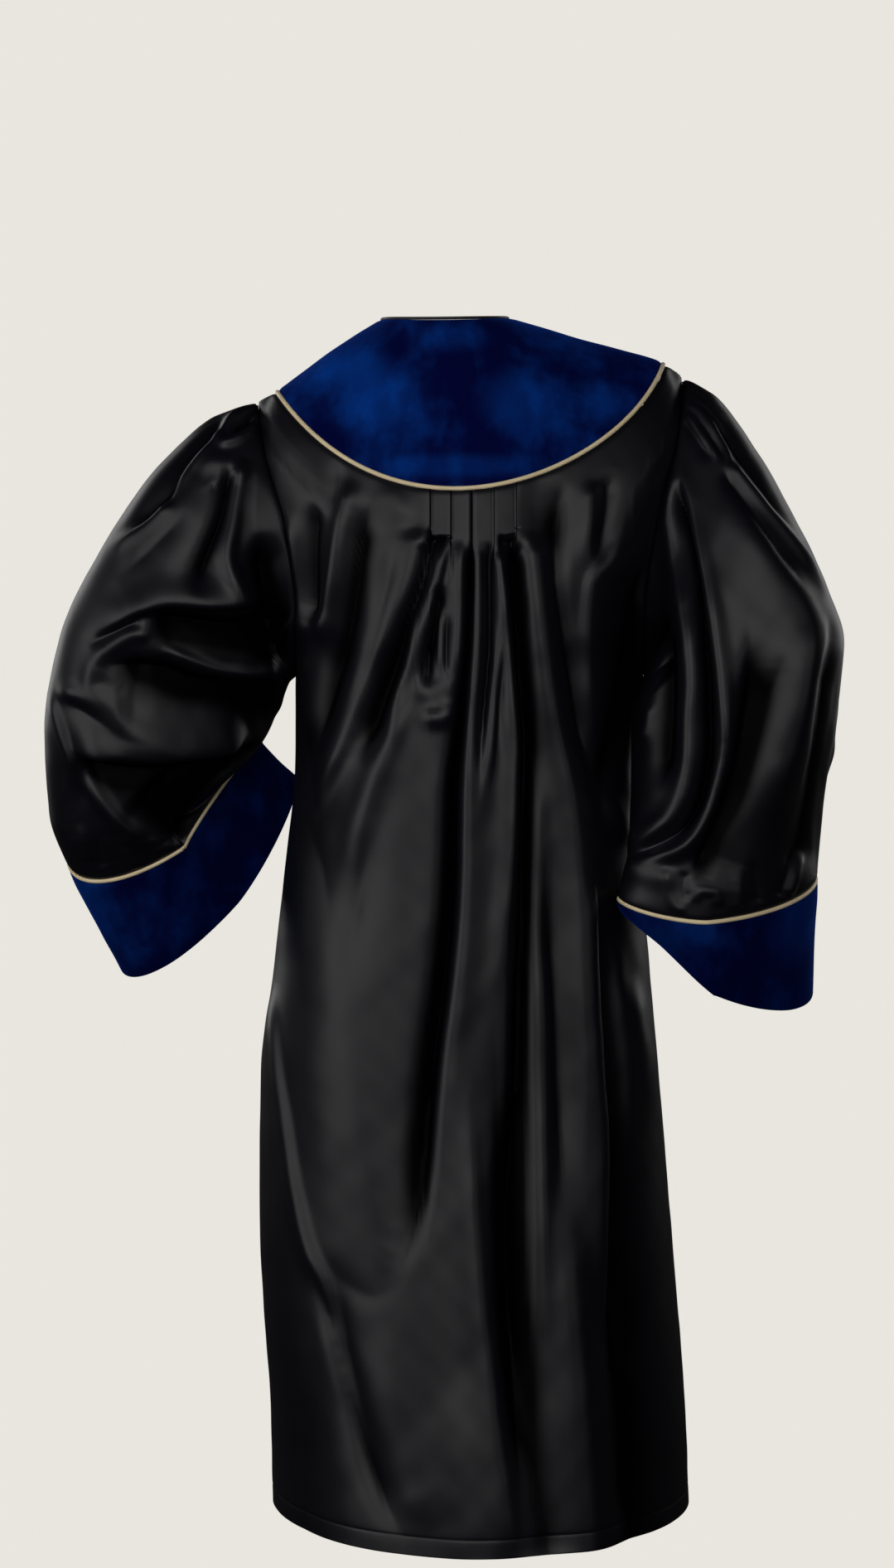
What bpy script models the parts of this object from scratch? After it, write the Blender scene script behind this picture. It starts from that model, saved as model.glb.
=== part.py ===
"""A worn judicial robe seen from behind, with each cut piece a thin hollow wall of cloth.

Metres, +Z up. The wearer faces -Y, so the back is towards +Y and the wearer's left is at +X.
The origin is at the level of the nape, on the line of the centre-back pleats.
"""

from collections import namedtuple
from functools import lru_cache
import math

import bmesh
import bpy
import numpy as np

# Driving sizes
SATIN_THICKNESS = 0.0018
VELVET_THICKNESS = 0.0024
SEAM_GAP = 0.0004
ARMHOLE_GAP = 0.0008
LARGEST_MITRE = 2.2
PIPING_RADIUS = 0.0021
PIPING_PROUD = 0.0005
BINDING_RADIUS = 0.0014
ROBE_LENGTH = 1.100
LAP_HALF_WIDTH = 0.0125
LAP_FULL_RISE_AT = 0.0150
LAP_RAMP_START = 0.0450
COLUMN_HALF_WIDTH = 0.180
STRAIGHT_COLUMNS_TO = 0.045
LEFT_SHOULDER_SOFTNESS = 0.80
RIGHT_SHOULDER_SOFTNESS = 0.35

# Rows of the body, from the neckline down. The shoulder and side lines are at left and right.
BodyRow = namedtuple(
    "BodyRow", "left_x left_z right_x right_z armhole_y back_y back_z front_y front_z reach"
)
BODY_ROWS = {
    "neckline": BodyRow(0.083, 0.000, -0.034, 0.001, 0.0, 0.060, -0.003, -0.062, -0.070, 90),
    "middle of yoke": BodyRow(0.133, -0.032, -0.107, -0.020, 0.0, 0.095, -0.078, -0.092, -0.135, 90),
    "yoke edge": BodyRow(0.181, -0.067, -0.179, -0.041, 0.0, 0.115, -0.160, -0.112, -0.200, 90),
    "shoulder tip": BodyRow(0.199, -0.078, -0.197, -0.056, 0.0, 0.119, -0.182, -0.115, -0.220, 90),
    "upper armhole": BodyRow(0.190, -0.130, -0.190, -0.110, 0.046, 0.124, -0.215, -0.119, -0.245, 62),
    "shoulder blade": BodyRow(0.171, -0.195, -0.172, -0.180, 0.062, 0.130, -0.262, -0.123, -0.280, 60),
    "lower armhole": BodyRow(0.162, -0.270, -0.160, -0.262, 0.050, 0.133, -0.305, -0.125, -0.315, 66),
    "underarm": BodyRow(0.163, -0.332, -0.160, -0.328, 0.0, 0.134, -0.345, -0.126, -0.350, 90),
    "ribs": BodyRow(0.164, -0.420, -0.154, -0.420, 0.0, 0.136, -0.420, -0.128, -0.420, 90),
    "waist": BodyRow(0.172, -0.500, -0.157, -0.500, 0.0, 0.138, -0.500, -0.130, -0.500, 90),
    "hip": BodyRow(0.184, -0.607, -0.166, -0.607, 0.0, 0.144, -0.607, -0.137, -0.607, 90),
    "seat": BodyRow(0.1955, -0.700, -0.174, -0.700, 0.0, 0.150, -0.700, -0.145, -0.700, 90),
    "thigh": BodyRow(0.197, -0.824, -0.184, -0.824, 0.0, 0.165, -0.824, -0.157, -0.824, 90),
    "knee": BodyRow(0.193, -0.920, -0.192, -0.920, 0.0, 0.177, -0.920, -0.168, -0.920, 90),
    "calf": BodyRow(0.187, -1.000, -0.198, -1.000, 0.0, 0.187, -1.000, -0.178, -1.000, 90),
    "hem": BodyRow(
        0.1845, -ROBE_LENGTH, -0.202, -ROBE_LENGTH, 0.0, 0.200, -ROBE_LENGTH, -0.190, -ROBE_LENGTH, 90
    ),
}
ROW_NAMES = tuple(BODY_ROWS)
YOKE_ROW = ROW_NAMES.index("yoke edge")
TIP_ROW = ROW_NAMES.index("shoulder tip")
UNDERARM_ROW = ROW_NAMES.index("underarm")
HEM_ROW = ROW_NAMES.index("hem")

# Where the rows and columns of points lie, in rows of the table and in shares of the width
ARMHOLE_STEPS = (0.0, 0.2, 0.45, 0.75, 1.1, 1.45, 1.8, 2.15, 2.5, 2.85, 3.2, 3.6, 4.0)
YOKE_STEPS = 4
BACK_STEPS_BELOW = 15
FRONT_STEPS_BELOW = 9
FRONT_COLUMNS = 14
COLUMNS_BESIDE_THE_PLEATS = 12

# How folds fade: in shares of the width, in rows of a table, in radians and in the facing
PANEL_EDGE_FADE = 0.10
PANEL_SEAM_FADE = 0.80
LAP_FADE = 0.06
SLEEVE_START_FADE = 0.50
SLEEVE_END_FADE = 0.60
SLEEVE_END_PLAIN = 0.05
SLEEVE_INNER_FADE = 0.50
FOLD_FACING = 0.35
FOLD_END_SHARE = 0.06
FOLD_END_POWER = 0.6
FOLD_STEPS = 12

# Steps over which directions are measured, and limits of the search for a seam's place
COLUMN_STEP = 0.02
ROW_STEP = 0.05
RING_STEP = 0.04
INWARD_COLUMN = 0.97
LONGEST_DRAW_BACK = 0.7
SEARCH_STEPS = 16

# Pleats of the back, at the yoke seam. Every fold edge faces the centre line.
PLEAT_LINES = (0.0380, 0.0195, 0.0005, -0.0200, -0.0400)
PLEAT_CENTRE = 2
PLEAT_HALF_STEP = 0.0012
PLEAT_RISE = 0.0022
PLEAT_RISE_AT_SEAM = 0.5
PLEAT_SPREAD = 0.020
PLEAT_TOP = -0.165
PLEAT_RELEASE = -0.205
PLEAT_END = -0.300

# Folds as seen from behind: x and z of the top, the bend and the foot, the rise of the cloth
# along its own face, below zero for a trough, and the half width of the fold
Fold = namedtuple("Fold", "top bend foot rise width")
BACK_FOLDS = {
    "centre valley": Fold((0.000, -0.200), (0.020, -0.440), (0.078, -0.850), -0.011, 0.012),
    "swag under the valley": Fold((0.130, -0.846), (0.088, -0.895), (0.052, -0.836), -0.006, 0.010),
    "ridge right of the valley": Fold((-0.009, -0.214), (0.008, -0.480), (0.055, -0.818), 0.007, 0.012),
    "deep right valley": Fold((-0.039, -0.202), (-0.046, -0.600), (-0.040, -1.110), -0.012, 0.012),
    "broad right ridge": Fold((-0.051, -0.202), (-0.092, -0.510), (-0.102, -0.900), 0.008, 0.020),
    "upper left ridge": Fold((0.043, -0.192), (0.084, -0.325), (0.155, -0.480), 0.009, 0.011),
    "trough under the left ridge": Fold((0.042, -0.214), (0.072, -0.320), (0.098, -0.410), -0.008, 0.009),
    "inner left ridge": Fold((0.023, -0.208), (0.060, -0.330), (0.094, -0.444), 0.007, 0.009),
    "low left trough": Fold((0.084, -0.460), (0.098, -0.520), (0.115, -0.610), -0.006, 0.011),
    "left blade ridge": Fold((0.100, -0.150), (0.120, -0.250), (0.138, -0.310), 0.006, 0.010),
    "left armhole trough": Fold((0.098, -0.190), (0.119, -0.320), (0.150, -0.435), -0.009, 0.012),
    "right blade trough": Fold((-0.086, -0.160), (-0.084, -0.300), (-0.103, -0.460), -0.009, 0.012),
    "right blade ridge": Fold((-0.127, -0.190), (-0.100, -0.280), (-0.106, -0.400), 0.007, 0.012),
    "right armhole trough": Fold((-0.150, -0.250), (-0.136, -0.360), (-0.108, -0.420), -0.008, 0.011),
    "narrow right ridge": Fold((-0.028, -0.202), (-0.032, -0.330), (-0.035, -0.500), 0.005, 0.007),
    "right side ridge": Fold((-0.108, -0.540), (-0.122, -0.760), (-0.128, -0.960), 0.008, 0.011),
    "right side trough": Fold((-0.140, -0.560), (-0.148, -0.760), (-0.150, -1.000), -0.007, 0.012),
    "left side ridge": Fold((0.176, -0.640), (0.160, -0.800), (0.088, -1.060), 0.006, 0.010),
    "left side trough": Fold((0.150, -0.840), (0.112, -0.970), (0.050, -1.085), -0.008, 0.013),
    "lower right tongue": Fold((-0.058, -0.900), (-0.085, -1.000), (-0.105, -1.120), 0.008, 0.020),
}
FRONT_FOLDS = {
    "left chest trough": Fold((0.085, -0.240), (0.075, -0.400), (0.090, -0.620), -0.009, 0.013),
    "left chest ridge": Fold((0.055, -0.230), (0.050, -0.480), (0.065, -0.900), 0.008, 0.013),
    "left hem valley": Fold((0.105, -0.520), (0.100, -0.800), (0.110, -1.120), -0.010, 0.015),
    "left side front ridge": Fold((0.130, -0.420), (0.140, -0.700), (0.145, -1.120), 0.008, 0.014),
    "right chest trough": Fold((-0.060, -0.240), (-0.065, -0.480), (-0.055, -0.860), -0.010, 0.013),
    "right chest ridge": Fold((-0.090, -0.240), (-0.085, -0.520), (-0.090, -1.000), 0.008, 0.014),
    "right hem valley": Fold((-0.115, -0.460), (-0.120, -0.800), (-0.115, -1.120), -0.009, 0.014),
    "right side front ridge": Fold((-0.140, -0.500), (-0.148, -0.800), (-0.155, -1.120), 0.007, 0.013),
}

# Rings of the sleeves, from the armhole to the edge of the cuff. Outer and inner are the ends
# of a ring in the back view, and near and far its half depths towards and from the back. The
# quarter of a ring that is near and inner is round where its pull is 1 and straight where 2.
SleeveRow = namedtuple("SleeveRow", "outer inner tilt near far pull")
LEFT_SLEEVE_ROWS = (
    SleeveRow((0.199, 0.000, -0.078), (0.163, 0.000, -0.332), (0.00, 1.00, 0.00), 0.062, 0.062, 1.0),
    SleeveRow((0.238, 0.005, -0.090), (0.170, -0.005, -0.336), (0.00, 1.00, 0.00), 0.072, 0.070, 1.0),
    SleeveRow((0.290, 0.012, -0.136), (0.176, -0.012, -0.349), (0.00, 1.00, 0.00), 0.084, 0.076, 1.0),
    SleeveRow((0.342, 0.018, -0.212), (0.180, -0.025, -0.361), (0.00, 1.00, 0.00), 0.090, 0.085, 1.0),
    SleeveRow((0.382, 0.018, -0.297), (0.186, -0.040, -0.371), (0.00, 1.00, 0.00), 0.090, 0.085, 1.0),
    SleeveRow((0.397, 0.010, -0.382), (0.190, -0.055, -0.378), (-0.10, 0.97, -0.20), 0.085, 0.080, 1.1),
    SleeveRow((0.395, -0.010, -0.460), (0.195, -0.070, -0.383), (-0.25, 0.88, -0.40), 0.080, 0.075, 1.3),
    SleeveRow((0.379, -0.030, -0.513), (0.203, -0.092, -0.396), (-0.30, 0.79, -0.51), 0.074, 0.070, 2.0),
    SleeveRow((0.330, -0.055, -0.614), (0.169, -0.125, -0.435), (-0.46, 0.79, -0.41), 0.060, 0.065, 1.4),
)
RIGHT_SLEEVE_ROWS = (
    SleeveRow((-0.197, 0.000, -0.056), (-0.160, 0.000, -0.328), (0.00, 1.00, 0.00), 0.062, 0.062, 1.0),
    SleeveRow((-0.224, 0.008, -0.069), (-0.166, 0.000, -0.333), (0.00, 1.00, 0.00), 0.070, 0.070, 1.0),
    SleeveRow((-0.263, 0.020, -0.121), (-0.169, 0.000, -0.343), (0.00, 1.00, 0.00), 0.078, 0.072, 1.0),
    SleeveRow((-0.298, 0.035, -0.185), (-0.169, 0.003, -0.360), (0.00, 1.00, 0.00), 0.080, 0.072, 1.0),
    SleeveRow((-0.327, 0.050, -0.252), (-0.168, 0.008, -0.385), (0.00, 1.00, 0.00), 0.080, 0.072, 1.0),
    SleeveRow((-0.341, 0.055, -0.300), (-0.166, 0.015, -0.415), (0.00, 1.00, -0.05), 0.080, 0.072, 1.0),
    SleeveRow((-0.335, 0.050, -0.365), (-0.163, 0.030, -0.450), (0.00, 0.98, -0.15), 0.078, 0.072, 1.0),
    SleeveRow((-0.327, 0.040, -0.430), (-0.150, 0.060, -0.490), (0.10, 0.94, -0.30), 0.074, 0.068, 1.15),
    SleeveRow((-0.319, 0.030, -0.522), (-0.133, 0.093, -0.532), (0.20, 0.91, -0.33), 0.070, 0.065, 1.5),
    SleeveRow((-0.316, 0.015, -0.628), (-0.150, 0.075, -0.552), (0.20, 0.88, -0.42), 0.066, 0.062, 1.9),
)
LEFT_SLEEVE_FOLDS = {
    "head tuck": Fold((0.199, -0.094), (0.216, -0.112), (0.236, -0.096), -0.005, 0.007),
    "upper arm band": Fold((0.239, -0.104), (0.277, -0.172), (0.327, -0.213), -0.008, 0.012),
    "upper arm ridge": Fold((0.252, -0.139), (0.290, -0.192), (0.337, -0.230), 0.007, 0.010),
    "blade trough": Fold((0.224, -0.146), (0.236, -0.200), (0.252, -0.258), -0.007, 0.010),
    "blade ridge": Fold((0.200, -0.143), (0.226, -0.216), (0.205, -0.268), 0.007, 0.010),
    "ridge over the hollow": Fold((0.337, -0.296), (0.270, -0.256), (0.200, -0.266), 0.009, 0.011),
    "elbow hollow": Fold((0.300, -0.290), (0.245, -0.292), (0.176, -0.308), -0.014, 0.013),
    "second hollow": Fold((0.333, -0.326), (0.260, -0.334), (0.180, -0.336), -0.009, 0.011),
    "forearm ridge": Fold((0.345, -0.350), (0.270, -0.384), (0.200, -0.388), 0.010, 0.015),
    "recess under the ridge": Fold((0.362, -0.426), (0.280, -0.432), (0.205, -0.414), -0.009, 0.012),
    "outer thin ridge": Fold((0.386, -0.343), (0.360, -0.420), (0.308, -0.497), 0.005, 0.009),
}
RIGHT_SLEEVE_FOLDS = {
    "head tuck": Fold((-0.197, -0.074), (-0.222, -0.118), (-0.250, -0.100), -0.005, 0.008),
    "inner ridge": Fold((-0.184, -0.165), (-0.200, -0.310), (-0.192, -0.455), 0.009, 0.011),
    "recess by the ridge": Fold((-0.166, -0.290), (-0.176, -0.370), (-0.170, -0.440), -0.010, 0.011),
    "second ridge": Fold((-0.190, -0.130), (-0.222, -0.270), (-0.205, -0.470), 0.007, 0.011),
    "trough by the lit panel": Fold((-0.214, -0.130), (-0.246, -0.280), (-0.240, -0.460), -0.007, 0.012),
    "elbow ridge": Fold((-0.238, -0.132), (-0.282, -0.190), (-0.325, -0.248), 0.007, 0.010),
    "trough over the elbow": Fold((-0.252, -0.128), (-0.295, -0.178), (-0.332, -0.222), -0.006, 0.010),
    "lit panel": Fold((-0.262, -0.200), (-0.290, -0.330), (-0.270, -0.500), 0.010, 0.022),
    "elbow corner trough": Fold((-0.308, -0.292), (-0.306, -0.400), (-0.288, -0.505), -0.009, 0.014),
}
FAR_SLEEVE_FOLDS = {
    "upper arm trough": Fold((0.225, -0.120), (0.250, -0.200), (0.310, -0.260), -0.008, 0.013),
    "elbow crook ridge": Fold((0.220, -0.250), (0.280, -0.270), (0.350, -0.300), 0.009, 0.013),
    "elbow crook hollow": Fold((0.215, -0.290), (0.280, -0.310), (0.350, -0.350), -0.011, 0.013),
    "forearm ridge": Fold((0.230, -0.350), (0.290, -0.380), (0.350, -0.420), 0.008, 0.013),
}
Sleeve = namedtuple("Sleeve", "side rows steps cuff_steps near_folds far_folds")
SLEEVES = {
    "left": Sleeve(1, LEFT_SLEEVE_ROWS, 18, 3, LEFT_SLEEVE_FOLDS, FAR_SLEEVE_FOLDS),
    "right": Sleeve(-1, RIGHT_SLEEVE_ROWS, 20, 3, RIGHT_SLEEVE_FOLDS, FAR_SLEEVE_FOLDS),
}

Finish = namedtuple("Finish", "red green blue roughness")
FINISHES = {
    "black_satin": Finish(22, 21, 23, 0.42),
    "blue_velvet": Finish(2, 22, 86, 0.85),
    "gold_piping": Finish(150, 124, 88, 0.38),
    "black_binding": Finish(16, 15, 17, 0.45),
}


def unit(vector):
    """Scale a vector to length one."""
    return vector / np.linalg.norm(vector)


def smooth_step(value):
    """Ease from 0 to 1 while the value goes from 0 to 1."""
    value = np.clip(value, 0.0, 1.0)
    return value * value * (3.0 - 2.0 * value)


def smooth_table(rows):
    """Return a function that runs smoothly through the rows, with no overshoot between them."""
    values = np.array(rows, dtype=float)
    steps = np.diff(values, axis=0)
    before, after = steps[:-1], steps[1:]
    same_way = before * after > 0.0
    slopes = np.zeros_like(values)
    np.divide(2.0 * before * after, before + after, out=slopes[1:-1], where=same_way)
    for end, first, second in ((0, steps[0], steps[1]), (-1, steps[-1], steps[-2])):
        slope = 1.5 * first - 0.5 * second
        slope = np.where(slope * first > 0.0, slope, 0.0)
        slopes[end] = np.clip(slope, -3.0 * np.abs(first), 3.0 * np.abs(first))

    def value_at(place):
        index = min(int(place), len(values) - 2)
        share = place - index
        rest = 1.0 - share
        curve = values[index] * (1.0 + 2.0 * share) * rest**2
        curve = curve + values[index + 1] * (3.0 - 2.0 * share) * share**2
        return curve + (slopes[index] * rest - slopes[index + 1] * share) * share * rest

    return value_at


body_table = smooth_table(tuple(BODY_ROWS.values()))


@lru_cache(maxsize=None)
def body_row(row):
    """Give the sizes of the body at a place between two rows of the table."""
    return BodyRow(*body_table(row))


def width_share(column, row):
    """Turn a column from -1, right, to 1, left, into its share of the half width at a row."""
    sizes = body_row(max(row, YOKE_ROW))
    reach = sizes.left_x if column > 0.0 else -sizes.right_x
    distance = COLUMN_HALF_WIDTH * math.sin(abs(column) * math.pi / 2.0)
    if distance > STRAIGHT_COLUMNS_TO:
        stretch = (reach - STRAIGHT_COLUMNS_TO) / (COLUMN_HALF_WIDTH - STRAIGHT_COLUMNS_TO)
        distance = STRAIGHT_COLUMNS_TO + (distance - STRAIGHT_COLUMNS_TO) * stretch
    middle = (sizes.left_x + sizes.right_x) / 2.0
    half = (sizes.left_x - sizes.right_x) / 2.0
    return (math.copysign(distance, column) - middle) / half


def column_at(x):
    """Give the column of a place near the centre line."""
    return math.copysign(math.asin(abs(x) / COLUMN_HALF_WIDTH) / (math.pi / 2.0), x)


def body_point(face, column, row):
    """Give a point of the smooth body, with face 1 for the back and -1 for the front."""
    sizes = body_row(row)
    share = max(-1.0, min(1.0, width_share(column, row)))
    reach = math.radians(sizes.reach)
    angle = math.asin(share * math.sin(reach))
    bow = (math.cos(angle) - math.cos(reach)) / (1.0 - math.cos(reach))
    below_tip = smooth_step((row - TIP_ROW) / (UNDERARM_ROW - TIP_ROW))
    softness = LEFT_SHOULDER_SOFTNESS * (1.0 + share) + RIGHT_SHOULDER_SOFTNESS * (1.0 - share)
    soft = softness / 2.0 * (1.0 - float(below_tip)) + 1e-6
    drop = (math.hypot(bow, soft) - soft) / (math.hypot(1.0, soft) - soft)
    depth, level = (sizes.back_y, sizes.back_z) if face > 0 else (sizes.front_y, sizes.front_z)
    side_y = face * sizes.armhole_y
    side_z = (sizes.left_z + sizes.right_z) / 2.0
    x = (sizes.left_x + sizes.right_x) / 2.0 + share * (sizes.left_x - sizes.right_x) / 2.0
    y = side_y + (depth - side_y) * bow
    z = side_z + share * (sizes.left_z - sizes.right_z) / 2.0 + (level - side_z) * drop
    return np.array((x, y, z))


def across(function, low, high, place, step):
    """Give the direction in which a line of points runs at a place between two ends."""
    return unit(function(min(place + step, high)) - function(max(place - step, low)))


def body_normal(face, column, row):
    """Give the outward direction of the body, shared by the pieces that meet at a seam."""
    along = across(lambda c: body_point(face, c, row), -1.0, 1.0, column, COLUMN_STEP)
    down = across(lambda r: body_point(face, column, r), 0.0, HEM_ROW, row, ROW_STEP)
    normal = unit(np.cross(along, down)) * face
    if abs(column) == 1.0 and not TIP_ROW < row < UNDERARM_ROW:
        normal[1] = 0.0
        normal = unit(normal)
    return normal


def armhole_mitre(face, side, row):
    """Give the lean of the edge shared by a panel and a sleeve, as a multiple of thickness."""
    span = UNDERARM_ROW - TIP_ROW
    angle = math.pi * (row - TIP_ROW) / span * face
    facing = 1 if row in (TIP_ROW, UNDERARM_ROW) else face
    body = body_normal(facing, float(side), row)
    name = "left" if side > 0 else "right"
    sleeve = sleeve_normal(name, angle % (2.0 * math.pi), 0.0)
    if row in (TIP_ROW, UNDERARM_ROW):
        sleeve[1] = 0.0
        sleeve = unit(sleeve)
    middle = unit(body + sleeve)
    return middle * min(LARGEST_MITRE, 1.0 / max(1e-6, np.dot(middle, body)))


def fold_rise(folds, point, facing):
    """Add up the folds at a point, where the cloth faces the side on which they are seen."""
    total = 0.0
    shares = np.linspace(0.0, 1.0, FOLD_STEPS + 1)[:, None]
    for fold in folds.values():
        top, bend, foot = (np.array(place) for place in (fold.top, fold.bend, fold.foot))
        pull = 2.0 * bend - (top + foot) / 2.0
        path = top * (1 - shares) ** 2 + pull * 2 * shares * (1 - shares) + foot * shares**2
        gaps = np.linalg.norm(path - point[[0, 2]], axis=1)
        nearest = int(np.argmin(gaps))
        along = FOLD_END_SHARE + nearest / FOLD_STEPS * (1.0 - FOLD_END_SHARE)
        fade = max(0.0, math.sin(math.pi * along)) ** FOLD_END_POWER
        total += fold.rise * fade * math.exp(-0.5 * (gaps[nearest] / fold.width) ** 2)
    return total * float(smooth_step(facing / FOLD_FACING))


def pleat_rise(point):
    """Give the height of the pleats, low at each outer line and high at each fold edge."""
    x, z = point[0], point[2]
    length = float(smooth_step((z - PLEAT_END) / (PLEAT_RELEASE - PLEAT_END)))
    seam = float(smooth_step((PLEAT_TOP - z) / 0.03))
    rise = PLEAT_RISE * (PLEAT_RISE_AT_SEAM + (1.0 - PLEAT_RISE_AT_SEAM) * seam) * length
    centre = PLEAT_LINES[PLEAT_CENTRE]
    if x > centre:
        outward = sorted(line - centre for line in PLEAT_LINES if line >= centre)
    else:
        outward = sorted(centre - line for line in PLEAT_LINES if line <= centre)
    distance = abs(x - centre)
    inner = max(line for line in outward if line <= distance)
    if inner == outward[-1]:
        return rise * float(smooth_step(1.0 - (distance - inner) / PLEAT_SPREAD))
    outer = min(line for line in outward if line > distance)
    return rise * (outer - distance) / (outer - inner)


def lap_rise(column, thickness):
    """Lift the left front over the right one at the centre front."""
    start, full = column_at(LAP_RAMP_START), column_at(LAP_FULL_RISE_AT)
    share = smooth_step((start - column) / (start - full))
    return (thickness + SEAM_GAP) * float(share)


def body_rise(piece, column, row, point, normal):
    """Give how far the cloth of a body piece stands off the smooth body."""
    edge = smooth_step((1.0 - abs(column)) / PANEL_EDGE_FADE)
    seam = smooth_step((row - YOKE_ROW) / PANEL_SEAM_FADE)
    if piece.face > 0 and piece.pleated:
        folds = fold_rise(BACK_FOLDS, point, normal[1]) * float(edge * seam)
        return folds + pleat_rise(point)
    if piece.face < 0:
        lap = lap_rise(column, piece.thickness) if piece.lap > 0 else 0.0
        if row < YOKE_ROW:
            return lap
        centre = smooth_step((abs(column) - column_at(LAP_RAMP_START)) / LAP_FADE)
        return lap + fold_rise(FRONT_FOLDS, point, -normal[1]) * float(edge * seam * centre)
    return 0.0


def row_for_gap(point_at, row, gap, along):
    """Move a row away from a seam that runs along a direction, down for a positive gap."""
    seam = point_at(row)
    near, far = 0.0, math.copysign(LONGEST_DRAW_BACK, gap)
    for _ in range(SEARCH_STEPS):
        middle = (near + far) / 2.0
        move = point_at(row + middle) - seam
        if np.linalg.norm(move - along * np.dot(move, along)) < abs(gap):
            near = middle
        else:
            far = middle
    return row + far


BodyPiece = namedtuple("BodyPiece", "face lap pleated thickness columns rows top_gap bottom_gap")


def body_wall(piece):
    """Work out the outer and inner points of a yoke or body panel, row by row."""
    outer, inner = [], []
    for row in piece.rows:
        outer_row, inner_row = [], []
        for column in piece.columns:
            gap = 0.0
            gap += piece.top_gap if row == piece.rows[0] else 0.0
            gap -= piece.bottom_gap if row == piece.rows[-1] else 0.0
            place = row
            if gap:
                line = lambda c: body_point(piece.face, c, row)
                along = across(line, -1.0, 1.0, column, COLUMN_STEP)
                place = row_for_gap(lambda r: body_point(piece.face, column, r), row, gap, along)
            point = body_point(piece.face, column, place)
            normal = body_normal(piece.face, column, place)
            rise = body_rise(piece, column, place, point, normal)
            if abs(column) == 1.0 and TIP_ROW <= row <= UNDERARM_ROW:
                normal = armhole_mitre(piece.face, column, row)
                rise = 0.0
            shift = seam_shift(piece.face, column, row)
            outer_row.append(point + normal * rise + shift)
            inner_row.append(point + normal * (rise - piece.thickness) + shift)
        outer.append(outer_row)
        inner.append(inner_row)
    return np.array(outer), np.array(inner)


def seam_shift(face, column, row):
    """Draw the edge of a panel back from the shoulder, side and armhole seams."""
    shift = np.zeros(3)
    if abs(column) < 1.0:
        return shift
    if not TIP_ROW < row < UNDERARM_ROW:
        shift[1] += face * SEAM_GAP / 2.0
    if TIP_ROW <= row <= UNDERARM_ROW:
        shift += armhole_parting(face, column, row) * ARMHOLE_GAP / 2.0
    return shift


def armhole_parting(face, side, row):
    """Give the direction in which a panel draws back from the sleeve at their seam."""
    edge = np.array((0.0, 1.0, 0.0))
    if TIP_ROW < row < UNDERARM_ROW:
        edge = across(lambda r: body_point(face, side, r), TIP_ROW, UNDERARM_ROW, row, ROW_STEP)
    parting = unit(np.cross(edge, armhole_mitre(face, side, row)))
    inward = body_point(face, side * INWARD_COLUMN, row) - body_point(face, side, row)
    if not TIP_ROW < row < UNDERARM_ROW:
        inward = np.array((-side, 0.0, 0.0))
    return parting * math.copysign(1.0, np.dot(parting, inward))


def armhole_places():
    """List the face and row of each point of an armhole, down its back and up its front."""
    rows = [float(TIP_ROW + step) for step in ARMHOLE_STEPS]
    return [(1, row) for row in rows] + [(-1, row) for row in rows[-2:0:-1]]


def ring_angles():
    """Give the angle of each sleeve column, level with the points of the armhole."""
    span = UNDERARM_ROW - TIP_ROW
    down = [math.pi * step / span for step in ARMHOLE_STEPS]
    return down + [2.0 * math.pi - angle for angle in down[-2:0:-1]]


def ring_point(name, angle, ring):
    """Give a point of a sleeve's rings, at an angle round a ring, 0 at the outer line."""
    outer, inner, tilt, shape = (table(ring) for table in sleeve_tables(name))
    near, far, pull = shape
    wide, deep = math.cos(angle), math.sin(angle)
    if wide < 0.0 < deep:
        wide, deep = -abs(wide) ** pull, deep**pull
    depth = near if deep > 0.0 else far
    return (outer + inner) / 2.0 + (outer - inner) / 2.0 * wide + unit(tilt) * depth * deep


@lru_cache(maxsize=None)
def sleeve_tables(name):
    """Make a smooth table of each size of a sleeve's rings."""
    rows = SLEEVES[name].rows
    return (
        smooth_table([row.outer for row in rows]),
        smooth_table([row.inner for row in rows]),
        smooth_table([row.tilt for row in rows]),
        smooth_table([(row.near, row.far, row.pull) for row in rows]),
    )


@lru_cache(maxsize=None)
def armhole_misfit(name):
    """Give what a sleeve's first ring lacks to meet the armhole, as a function of the angle."""
    side = float(SLEEVES[name].side)
    angles = ring_angles()
    misfit = []
    for angle, (face, row) in zip(angles, armhole_places()):
        misfit.append(body_point(face, side, row) - ring_point(name, angle, 0.0))
    return smooth_loop(angles, misfit)


def sleeve_point(name, angle, ring):
    """Give a point of a smooth sleeve, which starts from the edge of its armhole."""
    fade = max(0.0, 1.0 - ring) ** 2
    return ring_point(name, angle, ring) + armhole_misfit(name)(angle) * fade


def sleeve_around(name, angle, ring):
    """Give the direction of a ring of a sleeve at an angle."""
    after, before = (sleeve_point(name, angle + step, ring) for step in (RING_STEP, -RING_STEP))
    return unit(after - before)


def sleeve_normal(name, angle, ring):
    """Give the outward direction of a sleeve."""
    last = len(SLEEVES[name].rows) - 1
    down = across(lambda w: sleeve_point(name, angle, w), 0.0, last, ring, RING_STEP)
    return unit(np.cross(sleeve_around(name, angle, ring), down)) * -SLEEVES[name].side


def sleeve_rise(sleeve, ring, angle, point, normal):
    """Give how far the cloth of a sleeve stands off its smooth form."""
    to_cuff = len(sleeve.rows) - 2 - SLEEVE_END_PLAIN - ring
    seams = smooth_step(ring / SLEEVE_START_FADE) * smooth_step(to_cuff / SLEEVE_END_FADE)
    from_inner_line = abs(math.pi - angle)
    inner_line = smooth_step(from_inner_line / SLEEVE_INNER_FADE)
    near = fold_rise(sleeve.near_folds, point, normal[1])
    mirrored = point * np.array((sleeve.side, 1.0, 1.0))
    far = fold_rise(sleeve.far_folds, mirrored, -normal[1])
    return (near + far) * float(seams * inner_line)


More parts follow.
